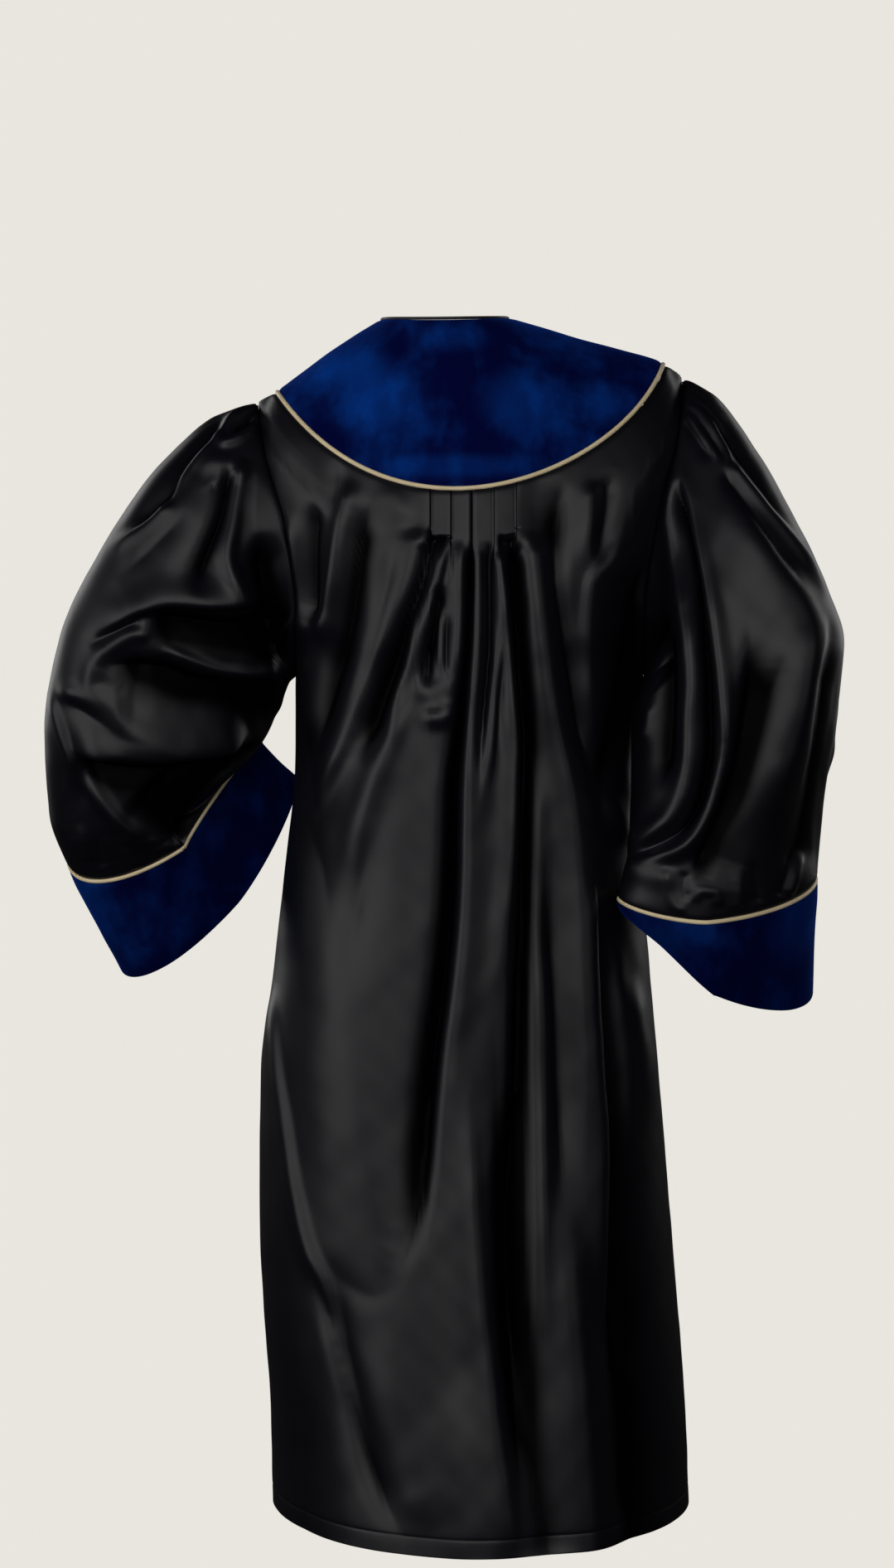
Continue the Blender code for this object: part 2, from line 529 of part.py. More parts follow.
def sleeve_ring(name, ring, gap, thickness):
    """Work out the outer and inner points of one ring, moved along the cloth by a gap."""
    sleeve = SLEEVES[name]
    outer, inner = [], []
    for angle in ring_angles():
        place = ring
        if gap:
            along = sleeve_around(name, angle, ring)
            place = row_for_gap(lambda w: sleeve_point(name, angle, w), ring, gap, along)
        point = sleeve_point(name, angle, place)
        normal = sleeve_normal(name, angle, place)
        rise = sleeve_rise(sleeve, place, angle, point, normal) if gap == 0.0 else 0.0
        outer.append(point + normal * rise)
        inner.append(point + normal * (rise - thickness))
    return outer, inner


def armhole_ring(name):
    """Work out the first ring of a sleeve, a seam's gap away from the panels."""
    side = SLEEVES[name].side
    outer, inner = [], []
    for angle, (face, row) in zip(ring_angles(), armhole_places()):
        start = sleeve_point(name, angle, 0.0)
        start = start - armhole_parting(face, side, row) * ARMHOLE_GAP / 2.0
        outer.append(start)
        inner.append(start - armhole_mitre(face, side, row) * SATIN_THICKNESS)
    return outer, inner


def sleeve_walls(name):
    """Work out the points of a sleeve and its cuff, ring by ring, and the line of its piping."""
    sleeve = SLEEVES[name]
    last = len(sleeve.rows) - 1
    seam = last - 1
    piped = PIPING_RADIUS + SEAM_GAP
    rings = [armhole_ring(name)]
    for ring in np.linspace(0.0, seam, sleeve.steps + 1)[1:-1]:
        rings.append(sleeve_ring(name, float(ring), 0.0, SATIN_THICKNESS))
    rings.append(sleeve_ring(name, seam, -piped, SATIN_THICKNESS))
    cuff = [sleeve_ring(name, seam, piped, VELVET_THICKNESS)]
    for ring in np.linspace(seam, last, sleeve.cuff_steps + 1)[1:]:
        cuff.append(sleeve_ring(name, float(ring), 0.0, VELVET_THICKNESS))
    sink = SATIN_THICKNESS / 2.0 - PIPING_PROUD
    piping = []
    for angle in ring_angles():
        piping.append(sleeve_point(name, angle, seam) - sleeve_normal(name, angle, seam) * sink)
    return split_rings(rings), split_rings(cuff), piping


def smooth_loop(angles, vectors):
    """Return a function of an angle that blends between the vectors round a loop."""
    grid = np.array(angles + [2.0 * math.pi])
    closed = np.array(vectors + [vectors[0]])

    def value_at(angle):
        turned = angle % (2.0 * math.pi)
        return np.array([np.interp(turned, grid, closed[:, axis]) for axis in range(3)])

    return value_at


def split_rings(rings):
    """Part a list of outer and inner rings into two grids."""
    return np.array([ring[0] for ring in rings]), np.array([ring[1] for ring in rings])


def material(name):
    """Make the plain Principled material of a cloth."""
    finish = FINISHES[name]
    made = bpy.data.materials.new(name)
    made.use_nodes = True
    shader = made.node_tree.nodes["Principled BSDF"]
    colour = [(value / 255.0) ** 2.2 for value in (finish.red, finish.green, finish.blue)]
    shader.inputs["Base Color"].default_value = (*colour, 1.0)
    shader.inputs["Roughness"].default_value = finish.roughness
    shader.inputs["Metallic"].default_value = 0.0
    made.diffuse_color = (*colour, 1.0)
    return made


def place(name, data, finish):
    """Put an object with its own material in the scene."""
    made = bpy.data.objects.new(name, data)
    data.materials.append(material(finish))
    bpy.context.scene.collection.objects.link(made)
    return made


def cloth_wall(name, finish, outer, inner, tube=False):
    """Close two grids of points into one thin wall of cloth."""
    rows, columns = outer.shape[:2]
    shape = bmesh.new()
    skins = []
    for grid in (outer, inner):
        skins.append([[shape.verts.new(point) for point in line] for line in grid])
    spans = columns if tube else columns - 1
    for skin, flip in zip(skins, (False, True)):
        for row in range(rows - 1):
            for column in range(spans):
                after = (column + 1) % columns
                add_quad(shape, skin[row][column], skin[row][after],
                         skin[row + 1][after], skin[row + 1][column], flip)
    for row, flip in ((0, True), (rows - 1, False)):
        for column in range(spans):
            after = (column + 1) % columns
            add_quad(shape, skins[0][row][column], skins[0][row][after],
                     skins[1][row][after], skins[1][row][column], flip)
    if not tube:
        for column, flip in ((0, False), (columns - 1, True)):
            for row in range(rows - 1):
                add_quad(shape, skins[0][row][column], skins[0][row + 1][column],
                         skins[1][row + 1][column], skins[1][row][column], flip)
    bmesh.ops.recalc_face_normals(shape, faces=shape.faces)
    data = bpy.data.meshes.new(name)
    shape.to_mesh(data)
    shape.free()
    data.shade_smooth()
    return place(name, data, finish)


def add_quad(shape, first, second, third, fourth, flip):
    """Add the two triangles between four corners."""
    for corners in ((first, second, third), (first, third, fourth)):
        shape.faces.new(corners[::-1] if flip else corners)


def round_cord(name, finish, points, radius, closed=False):
    """Lay a round piping along a line of points."""
    curve = bpy.data.curves.new(name, "CURVE")
    curve.dimensions = "3D"
    curve.bevel_depth = radius
    curve.bevel_resolution = 1
    curve.use_fill_caps = True
    curve.render_resolution_u = 0
    line = curve.splines.new("POLY")
    line.points.add(len(points) - 1)
    for knot, point in zip(line.points, points):
        knot.co = (*point, 1.0)
    line.use_cyclic_u = closed
    return place(name, curve, finish)


def back_columns():
    """List the columns of the back: two at each pleat line, and even ones between them."""
    places = []
    for line in PLEAT_LINES:
        places += [line - PLEAT_HALF_STEP, line + PLEAT_HALF_STEP]
    for high, low in zip(PLEAT_LINES, PLEAT_LINES[1:]):
        places += [low + (high - low) * share for share in (1.0 / 3.0, 2.0 / 3.0)]
    columns = [column_at(x) for x in places]
    left, right = max(columns), min(columns)
    columns += list(np.linspace(left, 1.0, COLUMNS_BESIDE_THE_PLEATS)[1:])
    columns += list(np.linspace(-1.0, right, COLUMNS_BESIDE_THE_PLEATS)[:-1])
    return sorted(columns)


def front_columns(side):
    """List the columns of one front, from its side seam past the centre line."""
    centre = column_at(LAP_HALF_WIDTH)
    marks = [centre, column_at(LAP_FULL_RISE_AT), column_at(LAP_RAMP_START)]
    outer = list(np.linspace(marks[-1], 1.0, FRONT_COLUMNS - 2)[1:])
    if side > 0:
        return sorted([-centre, 0.0] + marks + [(marks[1] + marks[2]) / 2.0] + outer)
    return sorted([centre, 0.0, -centre] + [-mark for mark in marks[1:] + outer])


def rows_between(first, last, steps):
    """Space rows evenly between two rows of the table."""
    return [float(row) for row in np.linspace(first, last, steps + 1)]


def panel_rows(steps_below):
    """List the rows of a panel, from the yoke seam past the armhole to the hem."""
    above = [float(YOKE_ROW), YOKE_ROW + 0.4]
    armhole = [float(TIP_ROW + step) for step in ARMHOLE_STEPS]
    return above + armhole + rows_between(UNDERARM_ROW, HEM_ROW, steps_below)[1:]


def yoke_line(face, columns, row, sink, lapped):
    """List the points of a trim along a row of the yoke."""
    points = []
    for column in columns:
        rise = lap_rise(column, VELVET_THICKNESS) if lapped else 0.0
        point = body_point(face, column, row)
        points.append(point + body_normal(face, column, row) * (rise - sink))
    return points


def neck_and_yoke_trim(row, sink, columns_back, columns_left, columns_right, end_gap):
    """Run a trim from the left front edge over the shoulders to the right front."""
    lap = column_at(LAP_HALF_WIDTH)
    end = -lap - column_at(end_gap)
    right = [column for column in columns_right if column < end] + [end]
    points = yoke_line(-1, columns_left, row, sink, True)
    points += yoke_line(1, columns_back[::-1][1:-1], row, sink, False)
    points += yoke_line(-1, right, row, sink, False)
    return points


def build():
    """Build every piece of the robe."""
    for item in list(bpy.data.objects):
        bpy.data.objects.remove(item)
    columns_back = back_columns()
    columns_front = {"left": front_columns(1), "right": front_columns(-1)}
    piped = PIPING_RADIUS + SEAM_GAP
    bound = BINDING_RADIUS + SEAM_GAP
    yoke_rows = rows_between(0.0, YOKE_ROW, YOKE_STEPS)

    back = BodyPiece(1, 0, True, SATIN_THICKNESS, columns_back, panel_rows(BACK_STEPS_BELOW), piped, 0.0)
    cloth_wall("back_panel", "black_satin", *body_wall(back))
    yoke = BodyPiece(1, 0, False, VELVET_THICKNESS, columns_back, yoke_rows, bound, piped)
    cloth_wall("yoke_back", "blue_velvet", *body_wall(yoke))
    for name, lap in (("left", 1), ("right", 0)):
        columns = columns_front[name]
        front = BodyPiece(
            -1, lap, False, SATIN_THICKNESS, columns, panel_rows(FRONT_STEPS_BELOW), piped, 0.0
        )
        cloth_wall("front_" + name, "black_satin", *body_wall(front))
        yoke = BodyPiece(-1, lap, False, VELVET_THICKNESS, columns, yoke_rows, bound, piped)
        cloth_wall("yoke_front_" + name, "blue_velvet", *body_wall(yoke))

    piping = neck_and_yoke_trim(
        float(YOKE_ROW), SATIN_THICKNESS / 2.0 - PIPING_PROUD,
        columns_back, columns_front["left"], columns_front["right"], SEAM_GAP,
    )
    round_cord("piping_yoke", "gold_piping", piping, PIPING_RADIUS)
    binding = neck_and_yoke_trim(
        0.0, VELVET_THICKNESS / 2.0, columns_back, columns_front["left"], columns_front["right"],
        3.0 * SEAM_GAP,
    )
    round_cord("neck_binding", "black_binding", binding, BINDING_RADIUS)

    for name in SLEEVES:
        wall, cuff, piping = sleeve_walls(name)
        cloth_wall("sleeve_" + name, "black_satin", *wall, tube=True)
        cloth_wall("cuff_" + name, "blue_velvet", *cuff, tube=True)
        round_cord("piping_cuff_" + name, "gold_piping", piping, PIPING_RADIUS, closed=True)


build()
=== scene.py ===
"""Looks of a worn judicial robe: fine shells of cloth, their creases and their finishes.

Metres, +Z up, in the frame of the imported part. The front faces -Y and the robe's own left is +X.
"""

from collections import namedtuple
import math

import bmesh
import bpy
from bpy.props import FloatProperty, FloatVectorProperty, PointerProperty
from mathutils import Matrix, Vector
import numpy as np


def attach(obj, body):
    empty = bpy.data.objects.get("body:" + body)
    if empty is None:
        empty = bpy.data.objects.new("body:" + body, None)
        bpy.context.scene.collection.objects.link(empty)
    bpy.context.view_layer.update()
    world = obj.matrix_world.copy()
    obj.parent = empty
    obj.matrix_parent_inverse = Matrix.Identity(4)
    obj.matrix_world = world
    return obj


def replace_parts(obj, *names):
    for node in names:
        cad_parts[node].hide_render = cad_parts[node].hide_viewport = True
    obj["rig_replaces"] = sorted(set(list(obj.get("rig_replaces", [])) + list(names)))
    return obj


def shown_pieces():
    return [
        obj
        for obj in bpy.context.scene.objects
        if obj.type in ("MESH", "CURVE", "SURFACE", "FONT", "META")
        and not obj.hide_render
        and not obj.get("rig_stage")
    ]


bl_info = {
    "name": "Judicial Robe",
    "version": (1, 0, 0),
    "blender": (4, 5, 0),
    "location": "View3D > Sidebar > Robe",
    "description": "Dresses the packed robe in satin, velvet and piping, with its creases",
    "category": "Object",
}

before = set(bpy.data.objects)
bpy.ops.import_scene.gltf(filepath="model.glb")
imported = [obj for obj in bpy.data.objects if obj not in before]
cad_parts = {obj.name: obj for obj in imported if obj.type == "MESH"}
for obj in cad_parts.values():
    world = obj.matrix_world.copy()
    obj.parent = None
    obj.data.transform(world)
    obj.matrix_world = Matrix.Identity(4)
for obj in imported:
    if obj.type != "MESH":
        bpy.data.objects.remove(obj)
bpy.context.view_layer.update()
BODY = "root"
MM = 0.001

# The form of the robe, as in the part
PIPING_RADIUS = 0.0021
PIPING_PROUD = 0.0005
BINDING_RADIUS = 0.0014
SATIN_IN_PART = 0.0018
VELVET_IN_PART = 0.0024
SEAM_GAP = 0.0004
ROBE_LENGTH = 1.100
LAP_HALF_WIDTH = 0.0125
LAP_FULL_RISE_AT = 0.0150
LAP_RAMP_START = 0.0450
COLUMN_HALF_WIDTH = 0.180
STRAIGHT_COLUMNS_TO = 0.045
LEFT_SHOULDER_SOFTNESS = 0.80
RIGHT_SHOULDER_SOFTNESS = 0.35

# Rows of the body, from the neckline down. The shoulder and side lines are at left and right,
# and reach is the half angle of a row's bow, in degrees.
BodyRow = namedtuple(
    "BodyRow", "left_x left_z right_x right_z armhole_y back_y back_z front_y front_z reach"
)
BODY_ROWS = {
    "neckline": (0.083, 0.000, -0.034, 0.001, 0.0, 0.060, -0.003, -0.062, -0.070, 90),
    "middle of yoke": (0.133, -0.032, -0.107, -0.020, 0.0, 0.095, -0.078, -0.092, -0.135, 90),
    "yoke edge": (0.181, -0.067, -0.179, -0.041, 0.0, 0.115, -0.160, -0.112, -0.200, 90),
    "shoulder tip": (0.199, -0.078, -0.197, -0.056, 0.0, 0.119, -0.182, -0.115, -0.220, 90),
    "upper armhole": (0.190, -0.130, -0.190, -0.110, 0.046, 0.124, -0.215, -0.119, -0.245, 62),
    "shoulder blade": (0.171, -0.195, -0.172, -0.180, 0.062, 0.130, -0.262, -0.123, -0.280, 60),
    "lower armhole": (0.162, -0.270, -0.160, -0.262, 0.050, 0.133, -0.305, -0.125, -0.315, 66),
    "underarm": (0.163, -0.332, -0.160, -0.328, 0.0, 0.134, -0.345, -0.126, -0.350, 90),
    "ribs": (0.164, -0.420, -0.154, -0.420, 0.0, 0.136, -0.420, -0.128, -0.420, 90),
    "waist": (0.172, -0.500, -0.157, -0.500, 0.0, 0.138, -0.500, -0.130, -0.500, 90),
    "hip": (0.184, -0.607, -0.166, -0.607, 0.0, 0.144, -0.607, -0.137, -0.607, 90),
    "seat": (0.1955, -0.700, -0.174, -0.700, 0.0, 0.150, -0.700, -0.145, -0.700, 90),
    "thigh": (0.197, -0.824, -0.184, -0.824, 0.0, 0.165, -0.824, -0.157, -0.824, 90),
    "knee": (0.193, -0.920, -0.192, -0.920, 0.0, 0.177, -0.920, -0.168, -0.920, 90),
    "calf": (0.187, -1.000, -0.198, -1.000, 0.0, 0.187, -1.000, -0.178, -1.000, 90),
    "hem": (
        0.1845, -ROBE_LENGTH, -0.202, -ROBE_LENGTH, 0.0,
        0.200, -ROBE_LENGTH, -0.190, -ROBE_LENGTH, 90,
    ),
}
ROW_NAMES = tuple(BODY_ROWS)
YOKE_ROW = ROW_NAMES.index("yoke edge")
TIP_ROW = ROW_NAMES.index("shoulder tip")
UNDERARM_ROW = ROW_NAMES.index("underarm")
HEM_ROW = ROW_NAMES.index("hem")

# Rings of the sleeves, from the armhole to the cuff's edge. They are the part's, but the crook of
# the right sleeve is drawn in to the body, and the corner of the left cuff seam pulls more.
SleeveRow = namedtuple("SleeveRow", "outer inner tilt near far pull")
SLEEVE_SIZES = {
    "left": (
        ((0.199, 0.000, -0.078), (0.163, 0.000, -0.332), (0.00, 1.00, 0.00), 0.062, 0.062, 1.0),
        ((0.238, 0.005, -0.090), (0.170, -0.005, -0.336), (0.00, 1.00, 0.00), 0.072, 0.070, 1.0),
        ((0.290, 0.012, -0.136), (0.176, -0.012, -0.349), (0.00, 1.00, 0.00), 0.084, 0.076, 1.0),
        ((0.342, 0.018, -0.212), (0.180, -0.025, -0.361), (0.00, 1.00, 0.00), 0.090, 0.085, 1.0),
        ((0.382, 0.018, -0.297), (0.186, -0.040, -0.371), (0.00, 1.00, 0.00), 0.090, 0.085, 1.0),
        ((0.397, 0.010, -0.382), (0.190, -0.055, -0.378), (-0.10, 0.97, -0.20), 0.085, 0.080, 1.1),
        ((0.395, -0.010, -0.460), (0.195, -0.070, -0.383), (-0.25, 0.88, -0.40), 0.080, 0.075, 1.3),
        ((0.379, -0.030, -0.513), (0.203, -0.092, -0.396), (-0.30, 0.79, -0.51), 0.074, 0.070, 2.3),
        ((0.330, -0.055, -0.614), (0.169, -0.125, -0.435), (-0.46, 0.79, -0.41), 0.060, 0.065, 1.4),
    ),
    "right": (
        ((-0.197, 0.000, -0.056), (-0.160, 0.000, -0.328), (0.00, 1.00, 0.00), 0.062, 0.062, 1.0),
        ((-0.224, 0.008, -0.069), (-0.162, 0.010, -0.336), (0.00, 1.00, 0.00), 0.070, 0.070, 1.0),
        ((-0.263, 0.020, -0.121), (-0.156, 0.038, -0.347), (0.00, 1.00, 0.00), 0.078, 0.072, 1.0),
        ((-0.298, 0.035, -0.185), (-0.150, 0.052, -0.362), (0.00, 1.00, 0.00), 0.080, 0.072, 1.0),
        ((-0.327, 0.050, -0.252), (-0.148, 0.055, -0.385), (0.00, 1.00, 0.00), 0.080, 0.072, 1.0),
        ((-0.341, 0.055, -0.300), (-0.147, 0.058, -0.415), (0.00, 1.00, -0.05), 0.080, 0.072, 1.0),
        ((-0.335, 0.050, -0.365), (-0.146, 0.065, -0.450), (0.00, 0.98, -0.15), 0.078, 0.072, 1.0),
        ((-0.327, 0.040, -0.430), (-0.143, 0.078, -0.490), (0.10, 0.94, -0.30), 0.074, 0.068, 1.15),
        ((-0.319, 0.030, -0.522), (-0.133, 0.093, -0.532), (0.20, 0.91, -0.33), 0.070, 0.065, 1.5),
        ((-0.316, 0.015, -0.628), (-0.150, 0.075, -0.552), (0.20, 0.88, -0.42), 0.066, 0.062, 1.9),
    ),
}
SLEEVE_ROWS = {
    name: [SleeveRow(*ring) for ring in rings] for name, rings in SLEEVE_SIZES.items()
}
SIDES = {"left": 1, "right": -1}

# Pleats of the back, at the yoke seam. Every fold edge faces the centre line.
PLEAT_LINES = (0.0380, 0.0195, 0.0005, -0.0200, -0.0400)
PLEAT_CENTRE = 0.0005
PLEAT_HALF_STEP = 0.0006
PLEAT_RISE = 0.0030
PLEAT_SPREAD = 0.020
PLEAT_RELEASE = -0.203
PLEAT_END = -0.250
PLEAT_GROOVE_WIDTH = 0.0006
PLEAT_OPENING = 0.026
# Painted shade: how deep a fold the slits at the pleat lines are painted as
PAINTED_SLIT_SHADE_DEPTH = 0.011
STITCH_MARGIN = 0.002

# Recesses under the outer pleats: the two sides of each, and how they narrow downwards
POCKETS = ((0.0205, 0.0385, 0.35), (-0.0405, -0.0235, 0.10))
POCKET_DEPTH = 0.0090
POCKET_EDGE = 0.0012
POCKET_SIDE = 0.0030
POCKET_LENGTH = 0.024
RELEASE_ROWS = (0.0405, 0.0418, 0.0428, 0.0438, 0.0448, 0.0460, 0.0475)

# How fine the shells are
BACK_SPACING = 0.0040
FRONT_SPACING = 0.0058
YOKE_SPACING = 0.0042
SLEEVE_RINGS = 166
CUFF_RINGS = 44
NEAR_COLUMNS = 120
FAR_COLUMNS = 76
BACK_SIDE_COLUMNS = 62
PLEAT_COLUMNS = 11
FRONT_COLUMNS = 78
YOKE_BACK_COLUMNS = 130
YOKE_FRONT_COLUMNS = 64
TRIM_KNOTS = (110, 220, 100)
CUFF_KNOTS = 260
TRIM_ROW_STEP = 0.05
LINE_PROBES = 600
RING_PROBES = 300
CLOSEST_SHARE = 0.35
EDGE_STEPS = (0.0007, 0.0016, 0.0028)
HEM_DEPTH = 0.0160
HEM_STEPS = (0.0010, 0.0022, 0.0132, 0.0146, 0.0153, 0.0160, 0.0167, 0.0174, 0.0190)

# How cloth turns in at its seams
SEAM_DIP = 0.0011
SEAM_DIP_WIDTH = 0.0016
EASE_EDGE = 0.006
EASE_REACH = 0.062
EASE_SIDE = 0.016
EASE_ROUNDS = 60
EASE_STEP = 0.6
SEAM_FADE = 0.009
SIDE_FADE = 0.010
HEM_GROOVE = 0.0004
HEM_GROOVE_WIDTH = 0.0009
SLEEVE_FADE = 0.010
CALM_EDGE = 0.02
YOKE_SIDE_DIP = 0.4

# How creases run out, and from what depth a fold gets painted shade, black mixed into the satin
CREASE_SEGMENTS = 28
CREASE_MARGIN = 3.5
CREASE_FACING = 0.32
SHORTEST_FADE = 1e-3
FOLD_SHADE_START = 0.0020
FOLD_SHADE_FULL = 0.0100
NOTCH_REACH = 1.56
NOTCH_POWER = 1.30

# A faint unevenness of each cloth: the size of its waves and their height
RIPPLES = {
    "panel": (0.030, 0.0005),
    "sleeve": (0.030, 0.0006),
    "yoke": (0.050, 0.0009),
    "cuff": (0.040, 0.0008),
}

# A crease as it is seen from behind, in millimetres. The path runs from its start to its foot,
# each point an x and a z. Rise is out of the cloth, below zero for a trough. The two half widths
# lie to the right and the left of the path as it runs, and spread is how much wider the foot is.
# Start and foot are the shares of the path over which it fades, and lean carries it to the right.
Crease = namedtuple("Crease", "path rise right left spread start foot lean", defaults=(0.0,))

